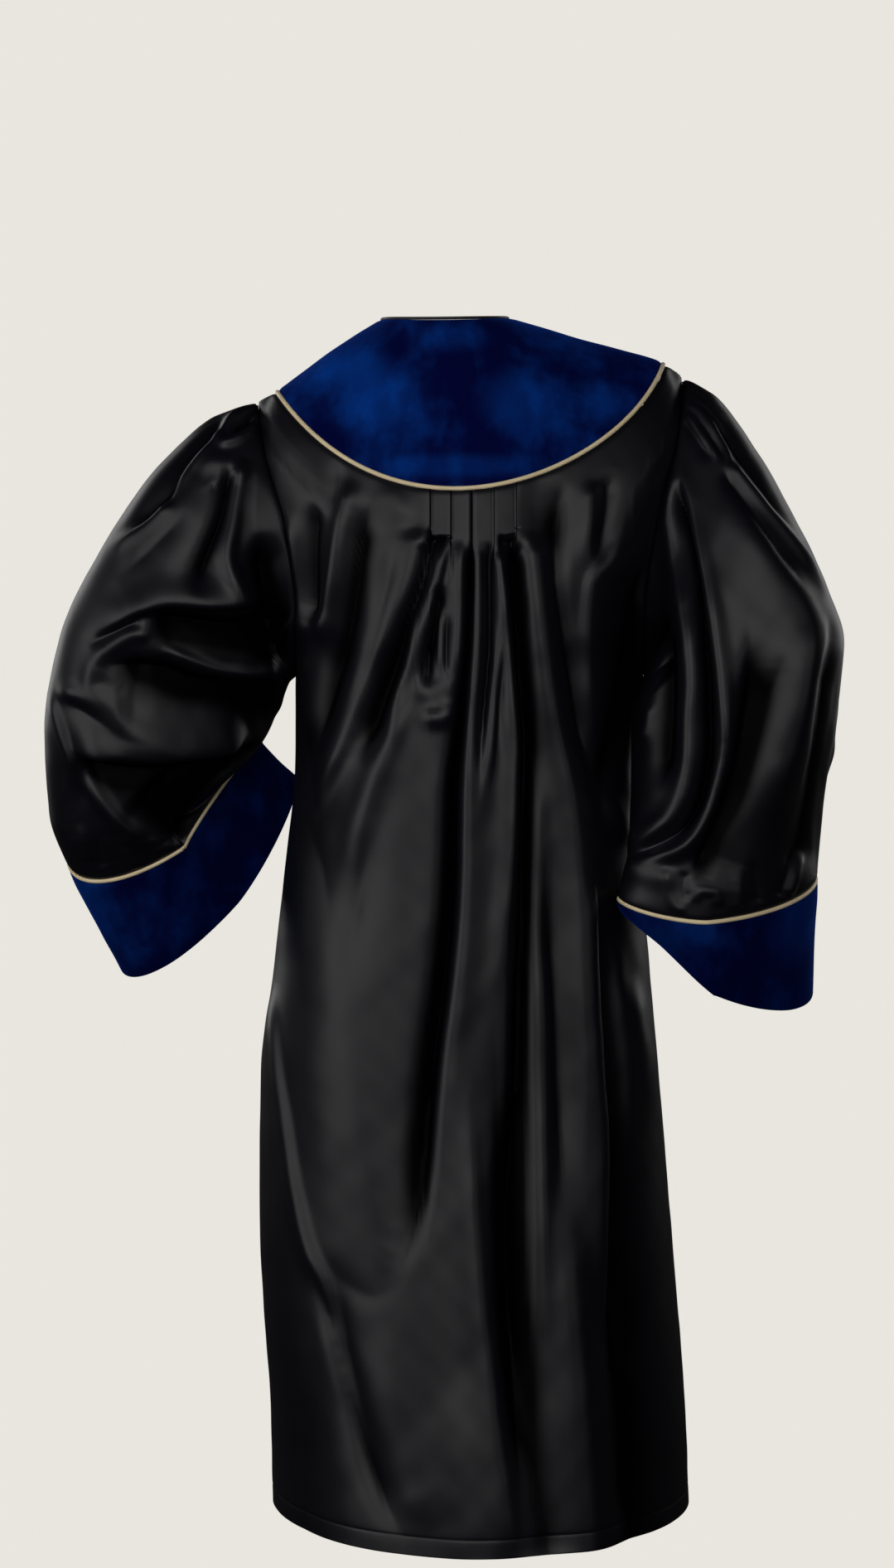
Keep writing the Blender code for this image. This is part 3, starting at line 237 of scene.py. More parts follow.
BACK_CREASES = {
    # From the pleats
    "outer left fold edge": (
        ((44, -192), (44, -202), (45, -213), (49, -232), (58, -256), (71, -282), (84, -308),
         (98, -342), (114, -384), (136, -430), (160, -486)), 8.0, 14, 4.0, 1.5, 0.08, 0.30),
    "valley inside it": (
        ((39, -210), (43, -232), (51, -259), (59, -281), (70, -315), (82, -345), (94, -380),
         (104, -415)), -13.0, 4.0, 4.0, 2.2, 0.03, 0.22),
    "thin ridge in the valley": (
        ((49, -256), (53, -295), (60, -325), (68, -349), (78, -391)),
        5.0, 2.5, 2.5, 1.6, 0.25, 0.35),
    "second fold edge": (
        ((21, -204), (24, -214), (29, -232), (37, -264), (45, -290), (48, -320), (46, -340),
         (39, -360)), 7.0, 5, 2.6, 1.3, 0.05, 0.30),
    "fold below the loop": (
        ((50, -330), (62, -362), (76, -398), (92, -440), (104, -486), (112, -540)),
        6.0, 7, 5, 1.8, 0.25, 0.35),
    "loop valley": (
        ((28, -246), (32, -270), (36, -295), (42, -322), (40, -344)),
        -10.0, 3.0, 4.5, 1.4, 0.15, 0.20),
    "thin ridge in the loop": (
        ((28, -262), (29, -290), (28, -315), (23, -335)), 3.5, 2.4, 2.4, 1.0, 0.30, 0.35),
    "inner loop valley": (
        ((22, -268), (23, -290), (24, -312), (21, -336)), -5.0, 2.6, 2.6, 1.0, 0.30, 0.30),
    "loop foot": (((41, -354), (34, -367), (25, -366), (16, -350)), 4.5, 5, 6, 1.0, 0.35, 0.35),
    "ridge left of the centre": (
        ((10, -205), (10, -228), (9, -281), (12, -326), (20, -358)), 6.0, 5, 4.0, 1.1, 0.06, 0.35),
    "centre valley": (
        ((0.6, -206), (2, -259), (4, -304), (7, -338), (12, -391), (16, -427), (18, -513),
         (25, -595), (34, -664), (42, -742), (50, -806), (66, -852), (92, -872)),
        -19.0, 1.9, 1.1, 6.5, 0.03, 0.22),
    "swag under the valley": (
        ((138, -840), (114, -872), (90, -881), (68, -868), (55, -838)),
        -2.0, 8, 12, 1.0, 0.35, 0.35),
    "ridge right of the centre": (
        ((-5, -205), (-5, -250), (-4, -304), (0, -352), (4, -404), (6, -470), (7, -520), (15, -600),
         (25, -664), (35, -742), (44, -793), (56, -840)), 6.0, 3, 6, 2.2, 0.03, 0.25),
    "band right of the centre": (
        ((-17, -206), (-15, -237), (-16, -275), (-15, -310), (-11, -355), (-8, -391), (-6, -430)),
        -10.0, 6.5, 3.5, 0.6, 0.05, 0.35),
    "thin ridge in the band": (
        ((-25, -278), (-21, -326), (-17, -375), (-12, -420), (-6, -468)),
        4.0, 2.6, 3.2, 1.3, 0.25, 0.4),
    "shade beside it": (
        ((-30, -262), (-29, -310), (-24, -360), (-21, -410)), -4.0, 3.0, 3.0, 1.2, 0.3, 0.4),
    "inner right fold edge": (
        ((-22, -204), (-25, -230), (-28, -252), (-32, -304), (-36, -350), (-39, -391), (-38, -428),
         (-36, -492), (-29, -560), (-20, -630)), 6.5, 4.0, 2.4, 1.8, 0.05, 0.45),
    "deep right valley": (
        ((-34, -204), (-37, -230), (-40, -268), (-43, -304), (-47, -350), (-50, -391), (-49, -427),
         (-48, -513), (-46, -570), (-43, -621), (-41, -700), (-37, -753), (-33, -805), (-33, -876),
         (-37, -930), (-38, -985), (-47, -1060)), -18.0, 2.6, 5.5, 2.4, 0.02, 0.20),
    "fine ridge in the deep valley": (
        ((-58, -395), (-58, -482), (-57, -569), (-57, -650), (-59, -760), (-61, -876), (-62, -980)),
        5.5, 4, 5, 1.3, 0.15, 0.3),
    "broad right ridge": (
        ((-50, -196), (-56, -250), (-62, -300), (-70, -350), (-80, -395), (-89, -445), (-94, -505),
         (-96, -600), (-101, -686), (-105, -772), (-108, -876)), 9.0, 7, 16, 1.3, 0.04, 0.35),
    "trough in the broad ridge": (
        ((-70, -470), (-73, -560), (-77, -650), (-80, -740), (-82, -830)),
        -6.0, 6, 6, 1.4, 0.3, 0.35),
    "left lower ridge": (
        ((-66, -540), (-67, -640), (-68, -740), (-70, -840)), 3.0, 5, 4, 1.2, 0.35, 0.4),
    # Between the yoke and the right armhole
    "right blade trough": (
        ((-84, -150), (-77, -195), (-76, -234), (-82, -277), (-89, -320), (-97, -363), (-106, -402),
         (-112, -440)), -11.0, 11, 4.0, 1.3, 0.15, 0.25),
    "right blade ridge": (
        ((-108, -150), (-106, -185), (-104, -215), (-101, -240)), 4.5, 6, 6, 1.0, 0.20, 0.50),
    "trough by the shoulder": (
        ((-124, -140), (-123, -175), (-118, -205), (-112, -232)), -6.0, 6, 6, 1.0, 0.25, 0.35),
    "right plateau edge": (
        ((-140, -190), (-124, -222), (-106, -244), (-103, -270), (-102, -310), (-103, -354),
         (-107, -398), (-112, -425)), 5.0, 3.0, 14, 1.0, 0.15, 0.20),
    "armhole shade": (
        ((-160, -215), (-151, -290), (-143, -340), (-131, -385), (-119, -430), (-114, -480)),
        -11.0, 9, 8, 1.5, 0.20, 0.35),
    "ridge under the plateau": (
        ((-118, -430), (-130, -455), (-142, -490)), 3.5, 6, 6, 1.2, 0.3, 0.4),
    # The right side of the skirt
    "right side edge": (
        ((-96, -505), (-107, -543), (-109, -600), (-114, -686), (-120, -750), (-121, -835),
         (-127, -950)), 4.0, 8, 2.6, 1.3, 0.10, 0.35),
    "shade behind the side edge": (
        ((-104, -512), (-113, -545), (-115, -600), (-120, -686), (-126, -750), (-127, -835),
         (-133, -950), (-138, -1010)), -13.0, 2.6, 14, 1.25, 0.12, 0.35),
    "ridge under the right cuff": (
        ((-146, -600), (-152, -650), (-160, -700), (-163, -760)), 5.0, 5, 6, 1.4, 0.25, 0.50),
    "second ridge at the right": (
        ((-134, -560), (-138, -630), (-146, -700), (-150, -780)), 3.5, 4, 5, 1.3, 0.3, 0.4),
    "lower right tongue": (
        ((-80, -760), (-86, -850), (-94, -940), (-102, -1030), (-110, -1115)),
        6.0, 11, 11, 1.4, 0.4, 0.05),
    "shade right of the tongue": (
        ((-124, -830), (-132, -920), (-140, -1010), (-148, -1115)), -9.0, 11, 14, 1.4, 0.35, 0.05),
    "skirt trough right of the centre": (
        ((-19, -600), (-22, -700), (-28, -797), (-42, -928), (-60, -1042), (-70, -1115)),
        -8.0, 9, 8, 1.7, 0.35, 0.05),
    "skirt ridge at the centre": (
        ((6, -640), (2, -760), (-6, -880), (-22, -1000), (-34, -1110)), 4.0, 9, 6, 1.3, 0.35, 0.10),
    "hook at the lower right": (
        ((-148, -955), (-146, -1000), (-141, -1050), (-137, -1085)), -4.0, 5, 7, 1.2, 0.3, 0.3),
    # Between the yoke and the left armhole
    "left blade ridge": (
        ((104, -150), (116, -180), (122, -212), (129, -255), (137, -287), (148, -299)),
        6.5, 5, 7, 1.0, 0.15, 0.15),
    "left blade trough": (
        ((92, -170), (103, -215), (109, -250), (117, -298), (129, -341), (140, -385), (150, -430)),
        -12.0, 5, 9, 1.6, 0.15, 0.30),
    "armpit valley": (
        ((141, -165), (144, -195), (146, -240), (146, -282)), -9.0, 6, 5.5, 1.0, 0.25, 0.12),
    "ridge by the armhole": (
        ((166, -180), (163, -221), (159, -262), (153, -292), (146, -300)),
        5.0, 4, 5, 1.0, 0.2, 0.15),
    "upper left dart": (((122, -128), (122, -160), (124, -190)), -3.5, 5, 4, 1.0, 0.35, 0.45),
    "soft ridge by the pleats": (
        ((88, -158), (74, -168), (62, -182), (56, -198)), 2.5, 8, 7, 1.0, 0.35, 0.45),
    "left blade hollow": (
        ((70, -196), (78, -250), (88, -296), (100, -336), (118, -376)),
        -4.5, 6, 8, 1.2, 0.25, 0.35),
    # The left side of the skirt
    "shade under the armpit": (
        ((165, -360), (152, -400), (146, -440), (138, -480)), -6.0, 9, 8, 1.4, 0.3, 0.4),
    "trough below the second edge": (
        ((92, -455), (100, -512), (110, -566), (116, -620)), -4.0, 9, 7, 1.4, 0.35, 0.50),
    "left skirt swell": (
        ((132, -520), (126, -600), (118, -690), (108, -780), (100, -850)),
        5.0, 20, 20, 1.3, 0.3, 0.4),
    "left side line": (
        ((183, -610), (178, -680), (170, -729), (162, -780), (148, -840), (132, -876), (122, -930),
         (106, -985), (88, -1042)), 5.0, 7, 3, 1.2, 0.12, 0.25),
    "shade inside the side line": (
        ((148, -850), (131, -900), (115, -960), (98, -1015), (76, -1066), (52, -1094)),
        -9.0, 4, 12, 1.4, 0.25, 0.25),
    "lower left swell": (
        ((96, -900), (84, -960), (64, -1030), (40, -1085)), 4.0, 14, 16, 1.3, 0.4, 0.2),
    "side drag line": (
        ((172, -425), (150, -470), (134, -520), (128, -580)), -3.5, 9, 8, 1.5, 0.3, 0.5),
    "hem wave": (((10, -930), (8, -1000), (4, -1060), (0, -1110)), 5.0, 18, 16, 1.4, 0.5, 0.05),
    "hem hollow": (
        ((150, -960), (152, -1020), (154, -1080), (155, -1115)), -4.0, 14, 12, 1.4, 0.5, 0.05),
}

FRONT_CREASES = {
    "left chest trough": (
        ((88, -232), (80, -320), (76, -400), (82, -500), (90, -620)), -8.0, 9, 11, 1.4, 0.15, 0.45),
    "left chest ridge": (
        ((56, -226), (50, -330), (50, -480), (56, -700), (66, -920)), 7.0, 9, 12, 1.6, 0.10, 0.30),
    "left hem valley": (
        ((106, -500), (100, -640), (100, -800), (106, -960), (111, -1120)),
        -10.0, 12, 11, 1.5, 0.3, 0.04),
    "left side front ridge": (
        ((128, -410), (136, -560), (141, -700), (145, -900), (146, -1120)),
        8.0, 10, 13, 1.4, 0.25, 0.04),
    "left armhole shade": (
        ((130, -190), (136, -260), (142, -320), (150, -380)), -7.0, 7, 8, 1.3, 0.2, 0.4),
    "left shoulder ridge": (
        ((112, -175), (116, -240), (124, -300), (138, -360)), 5.0, 7, 7, 1.2, 0.15, 0.4),
    "left lap trough": (
        ((40, -560), (36, -740), (38, -940), (42, -1120)), -7.0, 10, 9, 1.5, 0.4, 0.04),
    "left fine ridge": (((74, -430), (80, -560), (84, -720), (82, -860)), 4.0, 6, 6, 1.4, 0.3, 0.4),
    "right chest trough": (
        ((-62, -232), (-66, -360), (-66, -480), (-60, -660), (-54, -860)),
        -9.0, 10, 10, 1.4, 0.15, 0.35),
    "right chest ridge": (
        ((-90, -226), (-87, -360), (-85, -520), (-88, -740), (-91, -1000)),
        8.0, 10, 13, 1.5, 0.1, 0.3),
    "right hem valley": (
        ((-114, -450), (-119, -600), (-121, -800), (-118, -960), (-114, -1120)),
        -9.0, 11, 10, 1.5, 0.3, 0.04),
    "right side front ridge": (
        ((-138, -490), (-146, -640), (-150, -800), (-154, -960), (-156, -1120)),
        7.0, 9, 12, 1.4, 0.3, 0.04),
    "right armhole shade": (
        ((-132, -190), (-136, -260), (-140, -330), (-146, -390)), -7.0, 7, 8, 1.3, 0.2, 0.4),
    "right shoulder ridge": (
        ((-110, -175), (-114, -240), (-122, -300), (-134, -350)), 5.0, 7, 7, 1.2, 0.15, 0.4),
    "right lap ridge": (
        ((-34, -600), (-32, -760), (-34, -940), (-38, -1120)), 6.0, 9, 9, 1.5, 0.4, 0.04),
}

LEFT_CREASES = {
    # The tuck at the head
    "tuck upper edge": (
        ((196, -84), (216, -89), (230, -100), (238, -115)), 5.5, 3, 3, 1.0, 0.10, 0.20),
    "tuck lower edge": (
        ((196, -98), (208, -106), (220, -114), (236, -118)), 5.0, 3, 3, 1.0, 0.10, 0.20),
    "tuck mouth": (((196, -91), (208, -96), (222, -106)), -9.0, 3.5, 3.5, 0.8, 0.05, 0.35),
    "tuck hollow": (((207, -99), (218, -104), (229, -112)), -2.0, 2.5, 2.5, 1.0, 0.30, 0.40),
    # The upper arm
    "upper arm band": (
        ((218, -88), (236, -104), (262, -134), (279, -162), (304, -190), (330, -214)),
        -9.0, 7, 3.5, 1.2, 0.15, 0.30),
    "upper arm crisp ridge": (
        ((230, -104), (246, -122), (262, -141), (275, -166)), 4.5, 4, 3.5, 1.2, 0.15, 0.30),
    "upper arm ridge": (
        ((272, -168), (292, -186), (313, -202), (334, -220)), 5.0, 4, 4, 1.3, 0.20, 0.40),
    "short dark under the ridge": (
        ((258, -176), (282, -202), (306, -226), (326, -246)), -3.5, 4, 7, 1.3, 0.30, 0.45),
    "blade arch": (
        ((252, -148), (238, -134), (222, -140), (212, -158)), 3.0, 6, 8, 1.0, 0.30, 0.30),
    "blade trough": (
        ((233, -142), (222, -150), (226, -180), (238, -212), (247, -236), (252, -256)),
        -11.0, 5, 5.5, 1.2, 0.15, 0.20),
    "blade ridge": (
        ((208, -130), (216, -160), (220, -190), (224, -220), (216, -246), (203, -262)),
        7.0, 4, 5, 1.2, 0.15, 0.20),
    "hollow by the armhole": (
        ((196, -196), (192, -222), (187, -252), (178, -290), (168, -322)),
        -14.0, 7, 10, 1.1, 0.25, 0.10),
    # The elbow
    "ridge over the hollow": (
        ((352, -296), (332, -284), (300, -266), (270, -260), (236, -262), (208, -260), (190, -250)),
        9.0, 4, 12, 1.0, 0.25, 0.15, 5.0),
    "elbow hollow": (
        ((300, -278), (274, -277), (244, -281), (214, -284), (188, -284), (166, -288)),
        -20.0, 17, 4.0, 1.1, 0.20, 0.05),
    "small ridge beside it": (
        ((346, -320), (326, -302), (306, -292), (292, -298)), 4.0, 5, 5, 1.0, 0.3, 0.2),
    "small trough beside it": (
        ((352, -306), (334, -292), (314, -284), (300, -280)), -3.5, 4, 4, 1.0, 0.3, 0.2),
    "floor of the hollow": (
        ((288, -303), (258, -316), (226, -328), (196, -331), (166, -326)),
        4.0, 4, 3.5, 1.0, 0.2, 0.2),
    "second hollow": (
        ((336, -322), (312, -319), (282, -324), (250, -337), (208, -344), (172, -338)),
        -15.0, 18, 4.0, 1.1, 0.22, 0.08),
    "loop round the second hollow": (
        ((326, -310), (344, -320), (348, -338), (332, -352), (306, -362)),
        3.5, 6, 6, 1.0, 0.3, 0.4),
    # The forearm
    "ray from the outer edge": (
        ((384, -340), (352, -352), (322, -368), (292, -382), (262, -388)),
        4.0, 5, 5, 1.8, 0.15, 0.4),
    "trough under the ray": (
        ((376, -352), (346, -366), (312, -380), (282, -384)), -3.5, 5, 5, 1.6, 0.2, 0.4),
    "forearm ridge": (
        ((372, -396), (350, -394), (322, -392), (292, -394), (252, -392), (224, -388), (204, -384)),
        11.0, 6, 17, 1.0, 0.20, 0.16, 10.0),
    "recess under the forearm": (
        ((366, -408), (345, -415), (322, -419), (292, -421), (252, -418), (220, -411), (190, -402)),
        -18.0, 16, 4.0, 1.1, 0.10, 0.06),
    "outer thin ridge": (
        ((388, -338), (380, -370), (366, -408), (346, -440), (322, -470), (294, -498)),
        4.0, 5, 2.5, 1.2, 0.15, 0.25),
    "edge of the recess": (
        ((366, -414), (342, -444), (314, -474), (284, -488)), 4.0, 6, 4, 1.2, 0.2, 0.3),
    "recess by the piping": (
        ((300, -436), (284, -456), (266, -474), (262, -490)), -13.0, 11, 12, 1.0, 0.20, 0.20),
    "gleam by the piping": (((273, -424), (272, -440), (270, -456)), 2.5, 3, 3, 1.0, 0.35, 0.35),
    "cuff gather 1": (((300, -478), (292, -492), (288, -508)), 2.5, 3, 3, 1.0, 0.4, 0.1),
    "cuff gather 2": (((286, -474), (276, -488), (270, -502)), -2.5, 3, 3, 1.0, 0.4, 0.1),
    "cuff gather 3": (((326, -486), (318, -500), (312, -512)), 2.0, 3.5, 3, 1.0, 0.4, 0.1),
    "cuff gather 4": (((352, -478), (347, -494), (342, -510)), -2.0, 4, 3, 1.0, 0.4, 0.1),
    "cuff gather 5": (((364, -466), (360, -484), (356, -504)), 2.0, 4, 4, 1.0, 0.4, 0.1),
}

RIGHT_CREASES = {
    # The tucks at the head
    "head ridge": (
        ((-188, -70), (-205, -74), (-222, -88), (-240, -110)), 3.5, 4, 4, 1.0, 0.10, 0.35),
    "dark of the upper edge": (
        ((-200, -78), (-222, -90), (-238, -116), (-262, -150), (-290, -190), (-306, -222)),
        -7.0, 5, 6, 1.2, 0.15, 0.35),
    "loop outer edge": (
        ((-184, -78), (-206, -84), (-222, -102), (-234, -124), (-236, -138)),
        2.8, 2.5, 3, 1.0, 0.1, 0.15),
    "loop trough": (
        ((-204, -90), (-217, -108), (-228, -126), (-232, -134)), -2.8, 2.2, 2.2, 1.0, 0.3, 0.2),
    "loop inner edge": (
        ((-188, -84), (-203, -96), (-216, -116), (-228, -134)), 2.8, 3, 2.5, 1.0, 0.1, 0.2),
    "tuck dark": (
        ((-186, -88), (-200, -102), (-212, -122), (-222, -134)), -4.0, 4.5, 3, 1.0, 0.1, 0.3),
    "elbow ridge": (
        ((-234, -132), (-252, -156), (-270, -178), (-292, -206), (-312, -236), (-326, -262)),
        4.5, 3.5, 4, 1.2, 0.10, 0.30),
    "trough below the elbow ridge": (
        ((-226, -138), (-246, -168), (-264, -196), (-284, -226), (-300, -256)),
        -6.0, 4, 4, 1.3, 0.15, 0.35),
    # The body of the sleeve
    "first ridge": (
        ((-178, -120), (-183, -165), (-191, -245), (-199, -326), (-196, -365), (-195, -400),
         (-191, -433), (-180, -458), (-145, -486), (-130, -508)), 8.5, 8, 5, 1.0, 0.12, 0.15),
    "dark between the ridges": (
        ((-187, -150), (-197, -207), (-206, -281), (-211, -345), (-211, -390), (-204, -436),
         (-190, -464), (-160, -484), (-140, -498)), -15.0, 4.5, 4.0, 1.1, 0.08, 0.25),
    "second ridge": (
        ((-192, -125), (-205, -207), (-216, -281), (-224, -350), (-227, -389), (-215, -443),
         (-192, -480), (-152, -498), (-132, -508)), 7.5, 4, 6, 1.0, 0.12, 0.12),
    "dark right of the second ridge": (
        ((-248, -272), (-249, -315), (-244, -362), (-236, -404), (-221, -448), (-204, -492),
         (-198, -522)), -14.0, 5, 17, 1.1, 0.32, 0.15),
    "valley into the panel": (
        ((-284, -300), (-270, -345), (-256, -395), (-240, -440), (-222, -480)),
        -6.0, 9, 8, 1.2, 0.25, 0.3),
    "broad lit panel": (
        ((-226, -140), (-250, -190), (-280, -240), (-302, -285), (-294, -350), (-276, -420),
         (-258, -505)), 8.0, 16, 9, 1.2, 0.2, 0.25),
    "elbow corner": (
        ((-318, -268), (-312, -300), (-306, -340), (-300, -400), (-292, -460)),
        4.0, 9, 4, 1.3, 0.2, 0.4),
    "dark beyond the elbow": (
        ((-326, -296), (-320, -360), (-312, -430), (-300, -490), (-290, -516)),
        -8.0, 9, 12, 1.1, 0.2, 0.15),
    "recess by the body": (
        ((-172, -250), (-174, -303), (-176, -345), (-174, -390), (-168, -438)),
        -12.0, 7, 7, 1.3, 0.25, 0.2),
    "gleam in the recess": (((-160, -352), (-158, -372), (-152, -394)), 3.0, 3, 3, 1.0, 0.3, 0.3),
    # The gathers of the cuff
    "corner pouch": (
        ((-140, -500), (-152, -506), (-170, -508), (-190, -510)), 5.0, 8, 7, 1.1, 0.2, 0.4),
    "swirl edge": (
        ((-178, -500), (-176, -520), (-182, -536), (-194, -542)), 2.0, 3, 3, 1.0, 0.25, 0.2),
    "swirl hollow": (((-190, -502), (-190, -518), (-196, -532)), -2.6, 3, 3.5, 1.0, 0.25, 0.25),
    "swirl crown": (
        ((-198, -534), (-206, -522), (-218, -524), (-220, -538)), 1.8, 3, 3.5, 1.0, 0.25, 0.2),
    "cuff gather 1": (((-252, -492), (-256, -512), (-257, -536)), -2.2, 4, 4, 1.0, 0.4, 0.1),
    "cuff gather 2": (((-306, -490), (-297, -508), (-288, -530)), 3.5, 3.5, 3, 1.0, 0.3, 0.1),
    "cuff gather 3": (((-298, -486), (-288, -508), (-280, -532)), -3.0, 4, 3, 1.0, 0.3, 0.1),
    "cuff gather 4": (((-240, -498), (-240, -516), (-238, -540)), 2.0, 4, 4, 1.0, 0.4, 0.1),
}

NEAR_CREASES = {"left": LEFT_CREASES, "right": RIGHT_CREASES}

# Creases of the sleeves towards the front. Those of the right sleeve are mirrored by the side.
FAR_CREASES = {
    "upper arm trough": (
        ((212, -108), (232, -146), (262, -196), (306, -252)), -8.0, 9, 9, 1.3, 0.15, 0.35),
    "upper arm ridge": (
        ((206, -130), (226, -180), (252, -224), (290, -264)), 6.0, 7, 8, 1.3, 0.15, 0.35),
    "second upper trough": (((196, -146), (208, -196), (226, -240)), -5.0, 6, 6, 1.2, 0.2, 0.35),
    "crook ridge": (
        ((204, -244), (242, -256), (290, -268), (340, -296)), 8.0, 8, 10, 1.1, 0.15, 0.30, 2.0),
    "crook hollow": (
        ((200, -284), (242, -296), (290, -312), (344, -346)), -11.0, 12, 8, 1.2, 0.15, 0.35),
    "forearm ridge": (
        ((212, -344), (252, -362), (300, -388), (350, -424)), 7.0, 9, 10, 1.2, 0.15, 0.35),
    "forearm trough": (
        ((230, -384), (266, -402), (302, -428), (330, -462)), -6.0, 8, 8, 1.1, 0.2, 0.3),
    "outer ridge": (
        ((318, -300), (330, -350), (334, -410), (326, -466)), 5.0, 8, 7, 1.2, 0.25, 0.3),
}


def unit(vectors):
    """Scale vectors to length one."""
    return vectors / np.maximum(np.linalg.norm(vectors, axis=-1, keepdims=True), 1e-12)


def smooth_step(values):
    """Ease from 0 to 1 while the values go from 0 to 1."""
    values = np.clip(values, 0.0, 1.0)
    return values * values * (3.0 - 2.0 * values)


def bell(distance, width):
    """Fall from 1 to 0 over about twice a width."""
    return np.exp(-0.5 * (distance / width) ** 2)


def notch(distance, width):
    """Fall from 1 to 0 as a bell does, but from a sharp point."""
    return np.exp(-((distance / (NOTCH_REACH * width)) ** NOTCH_POWER))


def smooth_table(rows):
    """Return a function that runs smoothly through the rows, with no overshoot between them."""
    values = np.array(rows, dtype=float)
    steps = np.diff(values, axis=0)
    before, after = steps[:-1], steps[1:]
    slopes = np.zeros_like(values)
    np.divide(2.0 * before * after, before + after, out=slopes[1:-1], where=before * after > 0.0)
    for end, first, second in ((0, steps[0], steps[1]), (-1, steps[-1], steps[-2])):
        slope = 1.5 * first - 0.5 * second
        slope = np.where(slope * first > 0.0, slope, 0.0)
        slopes[end] = np.clip(slope, -3.0 * np.abs(first), 3.0 * np.abs(first))

    def values_at(places):
        places = np.asarray(places, dtype=float)
        index = np.clip(places.astype(int), 0, len(values) - 2)
        share = (places - index)[..., None]
        rest = 1.0 - share
        curve = values[index] * (1.0 + 2.0 * share) * rest**2
        curve = curve + values[index + 1] * (3.0 - 2.0 * share) * share**2
        return curve + (slopes[index] * rest - slopes[index + 1] * share) * share * rest

    return values_at


body_table = smooth_table(tuple(BODY_ROWS.values()))
sleeve_tables = {
    name: [
        smooth_table([row.outer for row in rows]),
        smooth_table([row.inner for row in rows]),
        smooth_table([row.tilt for row in rows]),
        smooth_table([(row.near, row.far, row.pull) for row in rows]),
    ]
    for name, rows in SLEEVE_ROWS.items()
}


def body_sizes(rows):
    """Give the sizes of the body at places between the rows of the table."""
    return BodyRow(*np.moveaxis(body_table(rows), -1, 0))


def width_shares(columns, rows):
    """Turn columns from -1, right, to 1, left, into their shares of the half width."""
    sizes = body_sizes(np.maximum(rows, YOKE_ROW))
    reach = np.where(columns > 0.0, sizes.left_x, -sizes.right_x)
    distance = COLUMN_HALF_WIDTH * np.sin(np.abs(columns) * math.pi / 2.0)
    stretch = (reach - STRAIGHT_COLUMNS_TO) / (COLUMN_HALF_WIDTH - STRAIGHT_COLUMNS_TO)
    far = STRAIGHT_COLUMNS_TO + (distance - STRAIGHT_COLUMNS_TO) * stretch
    distance = np.where(distance > STRAIGHT_COLUMNS_TO, far, distance)
    middle = (sizes.left_x + sizes.right_x) / 2.0
    half = (sizes.left_x - sizes.right_x) / 2.0
    return np.clip((np.copysign(distance, columns) - middle) / half, -1.0, 1.0)


def column_at(x):
    """Give the column of a place near the centre line."""
    return math.copysign(math.asin(abs(x) / COLUMN_HALF_WIDTH) / (math.pi / 2.0), x)


def body_points(faces, columns, rows):
    """Give points of the smooth body, with face 1 for the back and -1 for the front."""
    faces, columns, rows = np.broadcast_arrays(
        *(np.asarray(values, dtype=float) for values in (faces, columns, rows))
    )
    sizes = body_sizes(rows)
    share = width_shares(columns, rows)
    reach = np.radians(sizes.reach)
    angle = np.arcsin(np.clip(share * np.sin(reach), -1.0, 1.0))
    bow = (np.cos(angle) - np.cos(reach)) / (1.0 - np.cos(reach))
    below_tip = smooth_step((rows - TIP_ROW) / (UNDERARM_ROW - TIP_ROW))
    softness = LEFT_SHOULDER_SOFTNESS * (1.0 + share) + RIGHT_SHOULDER_SOFTNESS * (1.0 - share)
    soft = softness / 2.0 * (1.0 - below_tip) + 1e-6
    drop = (np.hypot(bow, soft) - soft) / (np.hypot(1.0, soft) - soft)
    depth = np.where(faces > 0.0, sizes.back_y, sizes.front_y)
    level = np.where(faces > 0.0, sizes.back_z, sizes.front_z)
    side_y = faces * sizes.armhole_y
    side_z = (sizes.left_z + sizes.right_z) / 2.0
    x = (sizes.left_x + sizes.right_x) / 2.0 + share * (sizes.left_x - sizes.right_x) / 2.0
    y = side_y + (depth - side_y) * bow
    z = side_z + share * (sizes.left_z - sizes.right_z) / 2.0 + (level - side_z) * drop
    return np.stack((x, y, z), axis=-1)


def ring_points(name, angles, rings):
    """Give points of a sleeve's rings, at angles round a ring, 0 at the outer line."""
    angles, rings = np.broadcast_arrays(np.asarray(angles, float), np.asarray(rings, float))
    outer, inner, tilt, shape = (table(rings) for table in sleeve_tables[name])
    near, far, pull = np.moveaxis(shape, -1, 0)
    wide, deep = np.cos(angles), np.sin(angles)
    pulled = (wide < 0.0) & (deep > 0.0)
    wide = np.where(pulled, -np.abs(wide) ** pull, wide)
    deep = np.where(pulled, np.abs(deep) ** pull, deep)
    depth = np.where(deep > 0.0, near, far) * deep
    middle, half = (outer + inner) / 2.0, (outer - inner) / 2.0
    return middle + half * wide[..., None] + unit(tilt) * depth[..., None]


def sleeve_points(name, angles, rings):
    """Give points of a smooth sleeve, which starts from the edge of its armhole."""
    angles, rings = np.broadcast_arrays(np.asarray(angles, float), np.asarray(rings, float))
    turned = np.mod(angles, 2.0 * math.pi)
    faces = np.where(turned <= math.pi, 1.0, -1.0)
    share = np.where(turned <= math.pi, turned, 2.0 * math.pi - turned) / math.pi
    rows = TIP_ROW + (UNDERARM_ROW - TIP_ROW) * share
    misfit = body_points(faces, float(SIDES[name]), rows) - ring_points(name, angles, 0.0)
    fade = np.maximum(0.0, 1.0 - rings) ** 2
    return ring_points(name, angles, rings) + misfit * fade[..., None]


def grid_normals(points, tube, outward):
    """Give the outward direction at each point of a grid of rows and columns."""
    if tube:
        padded = np.concatenate((points[:, -1:], points, points[:, :1]), axis=1)
        along = np.gradient(padded, axis=1)[:, 1:-1]
    else:
        along = np.gradient(points, axis=1)
    down = np.gradient(points, axis=0)
    return unit(np.cross(unit(along), unit(down))) * outward


